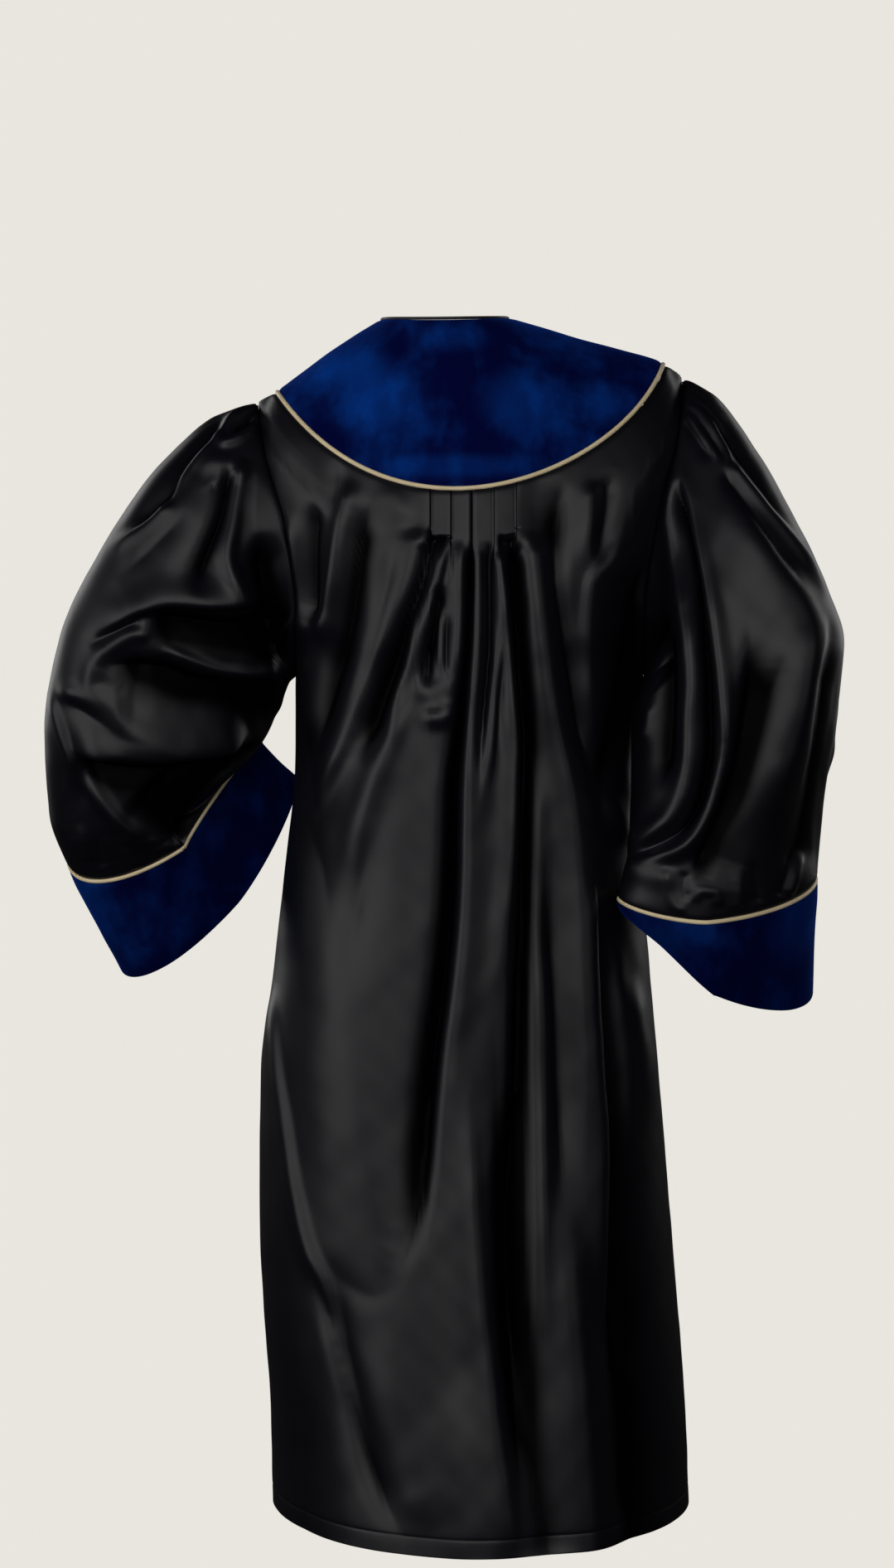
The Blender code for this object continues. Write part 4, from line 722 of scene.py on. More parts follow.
def arc_lengths(points, axis):
    """Measure along the rows or the columns of a grid from its first line."""
    steps = np.linalg.norm(np.diff(points, axis=axis), axis=-1)
    start = np.zeros_like(np.take(steps, [0], axis=axis))
    return np.concatenate((start, np.cumsum(steps, axis=axis)), axis=axis)


def crease_moves(creases, points, mirror=1.0):
    """Add up the rise and the sideways move of creases at points, as seen from behind."""
    flat = points.reshape(-1, 3)[:, [0, 2]] * np.array((mirror, 1.0))
    rise = np.zeros(len(flat))
    aside = np.zeros((len(flat), 3))
    for crease in (Crease(*sizes) for sizes in creases.values()):
        path = smooth_table(np.array(crease.path) * MM)(
            np.linspace(0.0, len(crease.path) - 1.0, CREASE_SEGMENTS + 1)
        )
        widest = max(crease.right, crease.left) * max(1.0, crease.spread) * MM
        margin = CREASE_MARGIN * widest
        low, high = path.min(axis=0) - margin, path.max(axis=0) + margin
        inside = np.flatnonzero(((flat > low) & (flat < high)).all(axis=1))
        if not len(inside):
            continue
        place = flat[inside]
        starts, runs = path[:-1], np.diff(path, axis=0)
        lengths = np.linalg.norm(runs, axis=1)
        offsets = place[:, None] - starts[None]
        along = np.clip((offsets * runs).sum(axis=2) / lengths**2, 0.0, 1.0)
        gaps = offsets - along[..., None] * runs
        distance = np.linalg.norm(gaps, axis=2)
        nearest = np.argmin(distance, axis=1)
        picked = np.arange(len(inside))
        travelled = np.concatenate(((0.0,), np.cumsum(lengths)))
        share = (travelled[nearest] + along[picked, nearest] * lengths[nearest]) / travelled[-1]
        run = runs[nearest] / lengths[nearest][:, None]
        offset = offsets[picked, nearest]
        side = run[:, 0] * offset[:, 1] - run[:, 1] * offset[:, 0]
        width = np.where(side > 0.0, crease.right, crease.left) * MM
        width = width * (1.0 + (crease.spread - 1.0) * share)
        fade = smooth_step(share / max(crease.start, SHORTEST_FADE))
        fade = fade * smooth_step((1.0 - share) / max(crease.foot, SHORTEST_FADE))
        profile = notch if crease.rise < 0.0 else bell
        shape = profile(distance[picked, nearest], width) * fade
        rise[inside] += shape * crease.rise * MM
        towards = np.stack((-run[:, 1] * mirror, np.zeros(len(run)), run[:, 0]), axis=1)
        aside[inside] += towards * (shape * crease.lean * MM)[:, None]
    return rise.reshape(points.shape[:-1]), aside.reshape(points.shape)


def creased(points, normals, creases, facing, mask, mirror=1.0):
    """Move points by creases where the cloth faces the side from which they are seen."""
    rise, aside = crease_moves(creases, points, mirror)
    share = smooth_step(facing / CREASE_FACING) * mask
    return normals * (rise * share)[..., None] + aside * share[..., None], rise * share


def fold_shade_shares(height):
    """Give how much painted shade each point gets from the depth of its fold, from 0 to 1."""
    return smooth_step((-height - FOLD_SHADE_START) / (FOLD_SHADE_FULL - FOLD_SHADE_START))


def ripples(points, size, height):
    """Give a faint unevenness of the cloth, the same in each run."""
    x, y, z = np.moveaxis(points / size, -1, 0)
    waves = np.sin(2.1 * x + 0.6 * z + 0.8) * np.sin(1.3 * z - 0.9 * y + 0.4)
    waves = waves + 0.6 * np.sin(3.7 * x - 1.4 * y + 1.1 * z) * np.sin(2.3 * z + 1.9 * y + 2.0)
    waves = waves + 0.35 * np.sin(6.1 * x + 3.2 * y) * np.sin(4.9 * z + 1.0)
    return waves * height / 1.95


def even_places(point_at, first, last, spacing, starts=(), ends=()):
    """Space places evenly along a line, with closer ones at given distances from its ends."""
    probes = np.linspace(first, last, LINE_PROBES)
    lengths = arc_lengths(point_at(probes), 0)
    total = lengths[-1]
    count = max(2, int(round(total / spacing)))
    closest = CLOSEST_SHARE * spacing
    extra = set(starts) | {total - end for end in ends}
    even = set(np.linspace(0.0, total, count + 1))
    kept = {mark for mark in even if all(abs(mark - near) > closest for near in extra)}
    marks = sorted(kept | extra | {0.0, total})
    return np.interp(marks, lengths, probes)


def pleat_hold(z):
    """Give 1 where the pleats are stitched, and ease to 0 where they have opened."""
    return smooth_step((z - PLEAT_END) / (PLEAT_RELEASE - PLEAT_END))


def pleat_rise(points):
    """Give the height of the pleats, low at each outer line and high at each fold edge."""
    x, z = points[..., 0], points[..., 2]
    distance = np.abs(x - PLEAT_CENTRE)
    height = np.zeros_like(x)
    for side in (1.0, -1.0):
        offsets = [side * (line - PLEAT_CENTRE) for line in PLEAT_LINES]
        lines = sorted(offset for offset in offsets if offset >= 0.0)
        here = side * (x - PLEAT_CENTRE) >= 0.0
        for inner, outer in zip(lines, lines[1:]):
            between = here & (distance >= inner) & (distance < outer)
            height[between] = ((outer - distance) / (outer - inner))[between]
        beyond = here & (distance >= lines[-1])
        height[beyond] = smooth_step(1.0 - (distance - lines[-1]) / PLEAT_SPREAD)[beyond]
    height = height - bell(distance, PLEAT_GROOVE_WIDTH)
    return PLEAT_RISE * height * pleat_hold(z)


def pocket_rise(points):
    """Give the recesses under the two outer pleats, where the stitching ends."""
    x, z = points[..., 0], points[..., 2]
    below = smooth_step((PLEAT_RELEASE - z) / POCKET_EDGE)
    below = below * smooth_step((z - PLEAT_RELEASE) / POCKET_LENGTH + 1.0)
    share = np.zeros_like(x)
    for low, high, slant in POCKETS:
        shift = slant * (PLEAT_RELEASE - z)
        inside = smooth_step((x - low - shift) / POCKET_SIDE)
        share = np.maximum(share, inside * smooth_step((high + shift - x) / POCKET_SIDE))
    return -POCKET_DEPTH * share * below


def stitched_share(points):
    """Give 1 over the stitched part of the pleats and 0 elsewhere."""
    x, z = points[..., 0], points[..., 2]
    across = smooth_step((x - PLEAT_LINES[-1] + STITCH_MARGIN) / STITCH_MARGIN)
    across = across * smooth_step((PLEAT_LINES[0] + STITCH_MARGIN - x) / STITCH_MARGIN)
    return across * smooth_step((z - PLEAT_RELEASE) / PLEAT_OPENING + 1.0)


def painted_slit_shade(points):
    """Give painted shade along the slits at the pleat lines, as a fold depth, down to where the pleats
    have opened.
    """
    x, z = points[..., 0], points[..., 2]
    slits = sum(bell(x - line, PLEAT_HALF_STEP / 2.0) for line in PLEAT_LINES)
    return -PAINTED_SLIT_SHADE_DEPTH * np.minimum(slits, 1.0) * pleat_hold(z)


def lap_rise(columns, thickness):
    """Lift the left front over the right one at the centre front."""
    start, full = column_at(LAP_RAMP_START), column_at(LAP_FULL_RISE_AT)
    return (thickness + SEAM_GAP) * smooth_step((start - columns) / (start - full))


def cloth_shell(name, points, finish, thickness, tube=False, outward=1.0, depth=None):
    """Make a shell of cloth from a grid of points, with its thickness on the inside."""
    rows, columns = points.shape[:2]
    across, down = arc_lengths(points, 1), arc_lengths(points, 0)
    data = bpy.data.meshes.new(name)
    spans = columns if tube else columns - 1
    row, column = np.meshgrid(np.arange(rows - 1), np.arange(spans), indexing="ij")
    after = (column + 1) % columns
    here, below = row * columns, (row + 1) * columns
    corners = np.stack((here + column, here + after, below + after, below + column), axis=-1)
    corners = corners.reshape(-1, 4)
    if outward > 0.0:
        corners = corners[:, ::-1]
    data.from_pydata(points.reshape(-1, 3).tolist(), [], corners.tolist())
    layer = data.uv_layers.new(name="Cloth")
    places = np.stack((across, down), axis=-1).reshape(-1, 2)[corners.reshape(-1)]
    layer.data.foreach_set("uv", places.astype(np.float32).ravel())
    # Painted shade: how much black the satin mixes in at deep folds
    if depth is not None:
        recess = data.attributes.new("Recess", "FLOAT", "POINT")
        recess.data.foreach_set("value", depth.astype(np.float32).ravel())
    data.shade_smooth()
    data.materials.append(finish)
    shell = bpy.data.objects.new(name, data)
    bpy.context.scene.collection.objects.link(shell)
    wall = shell.modifiers.new("Thickness", "SOLIDIFY")
    wall.thickness = thickness
    wall.offset = -1.0
    return shell


def cord_curve(name, points, radius, finish, closed):
    """Lay a round cord along a line of points."""
    curve = bpy.data.curves.new(name, "CURVE")
    curve.dimensions = "3D"
    curve.bevel_depth = radius
    curve.bevel_resolution = 5
    curve.use_fill_caps = True
    line = curve.splines.new("POLY")
    line.points.add(len(points) - 1)
    for knot, point in zip(line.points, points):
        knot.co = (*point, 1.0)
    line.use_cyclic_u = closed
    curve.materials.append(finish)
    cord = bpy.data.objects.new(name, curve)
    bpy.context.scene.collection.objects.link(cord)
    return cord


def dress(piece, node):
    """Let a piece ride on the robe and stand for its node."""
    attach(piece, BODY)
    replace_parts(piece, node)
    return piece


class Value:
    """A number inside a material, on which an expression adds Math nodes."""

    def __init__(self, finish, socket):
        self.finish = finish
        self.socket = socket

    def math(self, operation, *others):
        """Add one Math node that takes this value first."""
        return self.finish.math(operation, self, *others)

    def __add__(self, other):
        return self.math("ADD", other)

    __radd__ = __add__

    def __mul__(self, other):
        return self.math("MULTIPLY", other)

    __rmul__ = __mul__

    def __sub__(self, other):
        return self.math("SUBTRACT", other)

    def __rsub__(self, other):
        return self.finish.math("SUBTRACT", other, self)


class Finish:
    """A cloth's material, with its Principled shader."""

    def __init__(self, name, **constants):
        self.material = bpy.data.materials.new(name)
        self.material.use_nodes = True
        self.tree = self.material.node_tree
        self.shader = self.tree.nodes["Principled BSDF"]
        self.feed(**constants)

    def node(self, kind, settings=None, **inputs):
        """Add a node, set it up and join or fill its sockets, named with underscores."""
        made = self.tree.nodes.new(kind)
        for name, value in (settings or {}).items():
            if name == "stops":
                self.set_stops(made.color_ramp, value)
            else:
                setattr(made, name, value)
        for name, value in inputs.items():
            self.fill(self.socket_named(made, name), value)
        return made

    def set_stops(self, ramp, stops):
        """Set the places and colours of a ramp."""
        while len(ramp.elements) < len(stops):
            ramp.elements.new(1.0)
        for element, (place, colour) in zip(ramp.elements, stops):
            element.position = place
            element.color = (*colour, 1.0)

    def socket_named(self, made, name):
        """Find an enabled input by its name, or by its number for names like input_1."""
        if name.startswith("input_"):
            return made.inputs[int(name.split("_")[1])]
        wanted = name.replace("_", " ").lower()
        return next(s for s in made.inputs if s.enabled and s.name.lower() == wanted)

    def fill(self, socket, value):
        """Join a socket to another one, or set its number."""
        if isinstance(value, Value):
            self.tree.links.new(value.socket, socket)
        elif isinstance(value, bpy.types.NodeSocket):
            self.tree.links.new(value, socket)
        else:
            socket.default_value = value

    def math(self, operation, *values):
        """Add a Math node for values or numbers."""
        inputs = {f"input_{index}": value for index, value in enumerate(values)}
        made = self.node("ShaderNodeMath", {"operation": operation}, **inputs)
        return Value(self, made.outputs[0])

    def noise(self, vector, scale, detail=3.0, roughness=0.5):
        """Add soft noise and give its value."""
        made = self.node(
            "ShaderNodeTexNoise", None, vector=vector, scale=scale, detail=detail,
            roughness=roughness,
        )
        return Value(self, made.outputs[0])

    def ramp(self, value, low, high):
        """Ease a value from 0 at one end to 1 at the other."""
        made = self.node(
            "ShaderNodeMapRange", {"interpolation_type": "SMOOTHSTEP"},
            value=value, from_min=low, from_max=high,
        )
        return Value(self, made.outputs[0])

    def mix(self, share, first, second):
        """Blend two colours."""
        made = self.node("ShaderNodeMix", {"data_type": "RGBA"}, factor=share, a=first, b=second)
        return next(s for s in made.outputs if s.enabled)

    def place(self):
        """Give the place on the object, in metres."""
        return self.node("ShaderNodeTexCoord").outputs["Object"]

    def thread_place(self):
        """Give the place along the cloth, in metres across and down."""
        return self.node("ShaderNodeUVMap", {"uv_map": "Cloth"}).outputs[0]

    def scaled(self, vector, scale):
        """Stretch a vector, one number for each axis."""
        return self.vector_math("MULTIPLY", vector, scale).outputs[0]

    def vector_math(self, operation, *vectors):
        """Add a Vector Math node."""
        inputs = {f"input_{index}": vector for index, vector in enumerate(vectors)}
        return self.node("ShaderNodeVectorMath", {"operation": operation}, **inputs)

    def bump(self, height, depth, strength=1.0):
        """Feed a height in shares of a depth in metres to the shader's normal."""
        made = self.node("ShaderNodeBump", None, height=height, distance=depth, strength=strength)
        self.feed(normal=made.outputs[0])

    def paint_fold_shade(self, share):
        """Blend the shader with black by a share: painted shade in deep folds."""
        black = self.node(
            "ShaderNodeBsdfPrincipled", None, base_color=opaque(PAINTED_FOLD_SHADE), roughness=1.0,
            specular_ior_level=0.0,
        )
        output = next(item for item in self.tree.nodes if item.type == "OUTPUT_MATERIAL")
        mixed = self.node(
            "ShaderNodeMixShader", None,
            input_0=share, input_1=self.shader.outputs[0], input_2=black.outputs[0],
        )
        self.tree.links.new(mixed.outputs[0], output.inputs["Surface"])

    def feed(self, **sockets):
        """Join or fill the shader's sockets, named with underscores."""
        for name, value in sockets.items():
            self.fill(self.socket_named(self.shader, name), value)


# Satin: threads and slubs a metre across and down, soft clouds a metre, and the two shades
SATIN_THREADS = (2600.0, 520.0, 1.0)
SATIN_SLUBS = (140.0, 18.0, 1.0)
SATIN_CLOUDS = 9.0
SATIN_SHADES = (0.86, 1.22)
SATIN_RELIEF = 0.00012
# Painted shade: the black mixed into deep folds, and its largest share
PAINTED_FOLD_SHADE = (0.0006, 0.0006, 0.0009)
PAINTED_FOLD_SHADE_SHARE = 0.94

# Velvet: broad brushing, strokes and pile a metre
VELVET_BRUSHING = (13.0, 13.0, 11.0)
VELVET_STROKES = (38.0, 30.0, 26.0)
VELVET_PILE = 1700.0
VELVET_RELIEF = 0.00035
VELVET_GLEAM = (0.01, 0.12, 0.9)
# Painted shade: the cuffs' velvet is the yoke's velvet made darker by these shares
CUFF_SHADED_DARK_SHARE = 0.75
CUFF_SHADED_LIT_SHARE = 0.62

# Piping and binding
PIPING_THREADS = 420.0
PIPING_CLOUDS = 60.0
PIPING_SHADES = (0.82, 1.15)
PIPING_RELIEF = 0.00008
BINDING_GRAIN = 900.0
BINDING_COLOURS = ((0.006, 0.006, 0.008), (0.016, 0.016, 0.020))
BINDING_RELIEF = 0.00010


def opaque(colour, factor=1.0):
    """Give a colour for a socket, made lighter or darker."""
    return (*(min(1.0, part * factor) for part in colour), 1.0)


def satin_finish(name, settings):
    """Make the black satin: near black, fine twill threads, a soft broad gleam, and painted shade in
    deep folds and at the pleat slits.
    """
    finish = Finish(name, specular_ior_level=0.36)
    threads = finish.thread_place()
    weave = finish.noise(finish.scaled(threads, SATIN_THREADS), 1.0, 2.0)
    slubs = finish.noise(finish.scaled(threads, SATIN_SLUBS), 1.0, 3.0)
    cloud = finish.noise(finish.place(), SATIN_CLOUDS, 2.0)
    dark, light = (opaque(settings.satin_colour, shade) for shade in SATIN_SHADES)
    shade = finish.ramp(weave * 0.55 + slubs * 0.25 + cloud * 0.2, 0.35, 0.65)
    colour = finish.mix(shade, dark, light)
    rough = settings.satin_roughness + (weave - 0.5) * 0.10 + (cloud - 0.5) * 0.05
    finish.feed(base_color=colour, roughness=rough)
    finish.bump(weave * 0.7 + slubs * 0.3, SATIN_RELIEF, 0.5)
    # Painted shade: the satin turns to black in deep folds and slits
    recess = finish.node("ShaderNodeAttribute", {"attribute_name": "Recess"}).outputs["Fac"]
    finish.paint_fold_shade(Value(finish, recess) * PAINTED_FOLD_SHADE_SHARE)
    return finish.material


def velvet_finish(name, colour_dark, colour_lit, patches):
    """Make a blue velvet, with a nap that is brushed lighter in patches, partly real nap and partly a
    painted sheen at listed places.
    """
    finish = Finish(
        name, sheen_weight=0.35, sheen_roughness=0.40, specular_ior_level=0.04,
        sheen_tint=opaque(VELVET_GLEAM),
    )
    place = finish.place()
    broad = finish.noise(finish.scaled(place, VELVET_BRUSHING), 1.0, 3.0, 0.55)
    strokes = finish.noise(finish.scaled(place, VELVET_STROKES), 1.0, 3.0, 0.6)
    pile = finish.noise(place, VELVET_PILE, 2.0)
    brushed = finish.ramp(broad * 0.62 + strokes * 0.38, 0.42, 0.68)
    lit = brushed * 0.55
    # Painted sheen: lighter velvet blended in round each listed place, on top of the randomly brushed
    # nap
    for centre, size, share in patches:
        away = finish.vector_math("SUBTRACT", place, centre).outputs[0]
        away = finish.scaled(away, tuple(1.0 / part for part in size))
        length = finish.vector_math("LENGTH", away)
        sheen_spot = 1.0 - finish.ramp(Value(finish, length.outputs["Value"]), 0.2, 1.0)
        lit = lit + sheen_spot * (strokes * 0.9 + 0.35) * share
    lit = finish.math("MINIMUM", lit + (pile - 0.5) * 0.10, 1.0)
    finish.feed(
        base_color=finish.mix(lit, opaque(colour_dark), opaque(colour_lit)),
        roughness=0.92 - lit * 0.12,
    )
    finish.bump(pile * 0.6 + strokes * 0.4, VELVET_RELIEF, 0.45)
    return finish.material


def piping_finish(name, settings):
    """Make the gold satin of the piping, cut on the bias."""
    finish = Finish(name, specular_ior_level=0.6, sheen_weight=0.1)
    place = finish.place()
    threads = finish.node(
        "ShaderNodeTexWave", {"bands_direction": "DIAGONAL"},
        vector=place, scale=PIPING_THREADS, distortion=0.8, detail=1.0,
    )
    thread = Value(finish, threads.outputs[1])
    cloud = finish.noise(place, PIPING_CLOUDS, 2.0)
    dark, light = (opaque(settings.piping_colour, shade) for shade in PIPING_SHADES)
    colour = finish.mix(finish.ramp(thread * 0.4 + cloud * 0.6, 0.3, 0.7), dark, light)
    finish.feed(base_color=colour, roughness=0.34 + (thread - 0.5) * 0.08)
    finish.bump(thread, PIPING_RELIEF, 0.5)
    return finish.material


def binding_finish(name):
    """Make the black bias binding of the neck."""
    finish = Finish(name, specular_ior_level=0.5, sheen_weight=0.05)
    grain = finish.noise(finish.place(), BINDING_GRAIN, 2.0)
    finish.feed(
        base_color=finish.mix(grain, *(opaque(colour) for colour in BINDING_COLOURS)),
        roughness=0.5 + (grain - 0.5) * 0.2,
    )
    finish.bump(grain, BINDING_RELIEF, 0.5)
    return finish.material


# Lighter places of the velvet's nap, a painted sheen: the centre, the half sizes and the strength of
# each
YOKE_SHEEN_PATCHES = (
    ((0.128, 0.060, -0.042), (0.062, 0.080, 0.038), 0.95),
    ((0.085, 0.085, -0.080), (0.055, 0.070, 0.050), 0.75),
    ((-0.050, 0.100, -0.080), (0.055, 0.060, 0.045), 0.65),
    ((-0.120, 0.080, -0.080), (0.050, 0.070, 0.030), 0.45),
    ((0.020, 0.110, -0.140), (0.110, 0.050, 0.016), 0.45),
    ((0.020, 0.075, -0.020), (0.050, 0.050, 0.020), 0.35),
)
CUFF_SHEEN_PATCHES = (
    ((0.365, -0.030, -0.545), (0.050, 0.090, 0.060), 0.55),
    ((0.262, 0.000, -0.450), (0.022, 0.080, 0.050), 0.50),
    ((-0.300, 0.060, -0.560), (0.050, 0.080, 0.045), 0.50),
    ((-0.190, 0.110, -0.560), (0.060, 0.060, 0.020), 0.35),
)

# The flat cuts: width, length and the share of that rectangle that is cloth
Cut = namedtuple("Cut", "width length share held rests_on")
CUTS = {
    "back_panel": Cut(0.600, 1.030, 0.84, "hung", ("yoke_back",)),
    "front_left": Cut(0.300, 1.000, 0.84, "hung", ("yoke_front_left",)),
    "front_right": Cut(0.300, 1.000, 0.84, "hung", ("yoke_front_right",)),
    "yoke_back": Cut(0.400, 0.190, 0.70, "draped", ("back_panel",)),
    "yoke_front_left": Cut(0.190, 0.190, 0.72, "draped", ("front_left",)),
    "yoke_front_right": Cut(0.210, 0.190, 0.74, "draped", ("front_right",)),
    "sleeve_left": Cut(0.620, 0.420, 0.80, "gathered", ("back_panel", "front_left")),
    "sleeve_right": Cut(0.580, 0.450, 0.80, "gathered", ("back_panel", "front_right")),
    "cuff_left": Cut(0.520, 0.115, 0.84, "hung", ("sleeve_left",)),
    "cuff_right": Cut(0.440, 0.095, 0.80, "hung", ("sleeve_right",)),
}


def back_columns():
    """List the columns of the back: two at each pleat line, and close ones between them."""
    marks = []
    for line in PLEAT_LINES:
        marks += [line - PLEAT_HALF_STEP, line, line + PLEAT_HALF_STEP]
    marks = sorted(marks)
    places = list(marks)
    for low, high in zip(marks[2::3], marks[3::3]):
        places += list(np.linspace(low, high, PLEAT_COLUMNS)[1:-1])
    inner = [column_at(x) for x in sorted(places)]
    left = np.linspace(inner[-1], 1.0, BACK_SIDE_COLUMNS)[1:]
    right = np.linspace(-1.0, inner[0], BACK_SIDE_COLUMNS)[:-1]
    return np.array(list(right) + inner + list(left))


def edge_places(radius):
    """List the places of the first rows beside a trim of this radius."""
    start = radius + SEAM_GAP
    return [start] + [start + step for step in EDGE_STEPS]


def panel_grid(face, columns, spacing, first, last, starts, ends):
    """Give the smooth points of a panel or yoke piece."""
    centre = float(columns[np.argmin(np.abs(columns))])
    rows = even_places(lambda r: body_points(face, centre, r), first, last, spacing, starts, ends)
    return body_points(face, columns[None, :], rows[:, None])


def panel_edges(points, columns):
    """Measure how far each point is from the top and from the side edges of its grid."""
    across, down = arc_lengths(points, 1), arc_lengths(points, 0)
    left = across[:, -1:] - across if columns[-1] == 1.0 else np.full_like(across, 1.0)
    right = across if columns[0] == -1.0 else np.full_like(across, 1.0)
    return down, np.minimum(left, right)


def eased_shoulder(points, down, beside):
    """Smooth the band below the yoke down its columns, so that no ridge runs along it."""
    share = smooth_step(down / EASE_EDGE) * smooth_step((EASE_REACH - down) / EASE_EDGE)
    share = (share * smooth_step(beside / EASE_SIDE))[1:-1, :, None]
    steps = np.diff(down, axis=0)[..., None]
    before, after = steps[:-1], steps[1:]
    for _ in range(EASE_ROUNDS):
        between = (points[:-2] * after + points[2:] * before) / (before + after)
        points = points.copy()
        points[1:-1] += (between - points[1:-1]) * share * EASE_STEP
    return points


def build_body_panel(name, face, columns, spacing, creases, finish, thickness, lapped=False):
    """Build a satin panel from the yoke seam to the hem."""
    starts = edge_places(PIPING_RADIUS)
    if face > 0:
        starts += RELEASE_ROWS
    rows = float(YOKE_ROW), float(HEM_ROW)
    points = panel_grid(face, columns, spacing, *rows, starts, HEM_STEPS)[1:]
    down, beside = panel_edges(points, columns)
    points = eased_shoulder(points, down, beside)
    normals = grid_normals(points, False, face)
    to_hem = down[-1:] - down
    mask = smooth_step(down / SEAM_FADE) * smooth_step(beside / SIDE_FADE)
    moved, height = creased(points, normals, creases, normals[..., 1] * face, mask)
    rise = -SEAM_DIP * (bell(down, SEAM_DIP_WIDTH) + bell(beside, SEAM_DIP_WIDTH))
    rise = rise - HEM_GROOVE * bell(to_hem - HEM_DEPTH, HEM_GROOVE_WIDTH)
    rise = rise + ripples(points, *RIPPLES["panel"]) * mask
    if face > 0:
        free = 1.0 - stitched_share(points)
        pockets = pocket_rise(points)
        rise = rise + pleat_rise(points) + pockets
        # Painted shade: the pockets and the pleat slits join the depth that blackens the satin; the
        # slits are only painted, not in the cloth's form
        moved, height = moved * free[..., None], height * free + pockets + painted_slit_shade(points)
    if lapped:
        rise = rise + lap_rise(columns, SATIN_IN_PART)[None, :]
    points = points + moved + normals * rise[..., None]
    # Painted shade: black mixed in by the depth of the folds
    depth = fold_shade_shares(height)
    return cloth_shell(name, points, finish, thickness, outward=float(face), depth=depth)


class RobeCloth(bpy.types.PropertyGroup):
    """Colours and thicknesses of the cloth."""

    satin_colour: FloatVectorProperty(
        name="Satin", description="Colour of the black satin", subtype="COLOR", size=3,
        default=(0.0029, 0.0030, 0.0056), min=0.0, max=1.0,
    )
    satin_roughness: FloatProperty(
        name="Satin roughness", description="How broad the gleam of the satin is",
        default=0.38, min=0.0, max=1.0, subtype="FACTOR",
    )
    velvet_dark: FloatVectorProperty(
        name="Velvet", description="Colour of the velvet against its nap", subtype="COLOR", size=3,
        default=(0.0003, 0.0018, 0.043), min=0.0, max=1.0,
    )
    # Partly painted sheen: the colour that the brushed nap and the sheen patches blend towards
    velvet_lit: FloatVectorProperty(
        name="Brushed velvet", description="Colour of the velvet where the nap is brushed up",
        subtype="COLOR", size=3, default=(0.0008, 0.045, 0.300), min=0.0, max=1.0,
    )
    piping_colour: FloatVectorProperty(
        name="Piping", description="Colour of the gold piping", subtype="COLOR", size=3,
        default=(0.90, 0.72, 0.44), min=0.0, max=1.0,
    )
    satin_thickness: FloatProperty(
        name="Satin thickness", description="Thickness of the satin shells",
        default=0.0010, min=0.0002, max=0.003, unit="LENGTH", subtype="DISTANCE",
    )
    velvet_thickness: FloatProperty(
        name="Velvet thickness", description="Thickness of the velvet shells",
        default=0.0018, min=0.0002, max=0.004, unit="LENGTH", subtype="DISTANCE",
    )


class RobeStage(bpy.types.PropertyGroup):
    """The studio round the robe."""

    backdrop_colour: FloatVectorProperty(
        name="Backdrop", description="Colour of the floor and the backdrop", subtype="COLOR",
        size=3, default=(0.815, 0.791, 0.738), min=0.0, max=1.0,
    )
    camera_distance: FloatProperty(
        name="Camera distance", description="How far the camera stands behind the shoulders",
        default=3.12, min=0.5, max=20.0, unit="LENGTH", subtype="DISTANCE",
    )
    camera_height: FloatProperty(
        name="Camera height", description="Height of the camera against the nape",
        default=-0.26, min=-2.0, max=2.0, unit="LENGTH", subtype="DISTANCE",
    )
    camera_aside: FloatProperty(
        name="Camera aside", description="How far the camera stands to the robe's left",
        default=0.0227, min=-1.0, max=1.0, unit="LENGTH", subtype="DISTANCE",
    )
    lens: FloatProperty(
        name="Lens", description="Focal length on a 36 mm frame", default=76.6, min=10.0, max=300.0,
        unit="CAMERA",
    )
    frame_drop: FloatProperty(
        name="Frame drop",
        description="How far the frame lies below the camera's level, in frame heights",
        default=0.118, min=0.0, max=0.3,
    )
    floor_level: FloatProperty(
        name="Floor", description="Height of the floor", default=-1.45, min=-3.0, max=0.0,
        unit="LENGTH", subtype="DISTANCE",
    )


class ROBE_OT_body(bpy.types.Operator):
    """Build the satin back and the two satin fronts."""

    bl_idname = "robe.body"
    bl_label = "Back and Fronts"

    def execute(self, context):
        cloth = context.scene.robe_cloth
        satin = finishes()["black_satin"]
        back = build_body_panel(
            "back_panel_cloth", 1, back_columns(), BACK_SPACING, BACK_CREASES, satin,
            cloth.satin_thickness,
        )
        dress(back, "back_panel")
        lap = column_at(LAP_HALF_WIDTH)
        for name, first, last in (("left", -lap, 1.0), ("right", -1.0, lap)):
            columns = np.linspace(first, last, FRONT_COLUMNS)
            front = build_body_panel(
                f"front_{name}_cloth", -1, columns, FRONT_SPACING, FRONT_CREASES, satin,
                cloth.satin_thickness, lapped=name == "left",
            )
            dress(front, f"front_{name}")
        return {"FINISHED"}


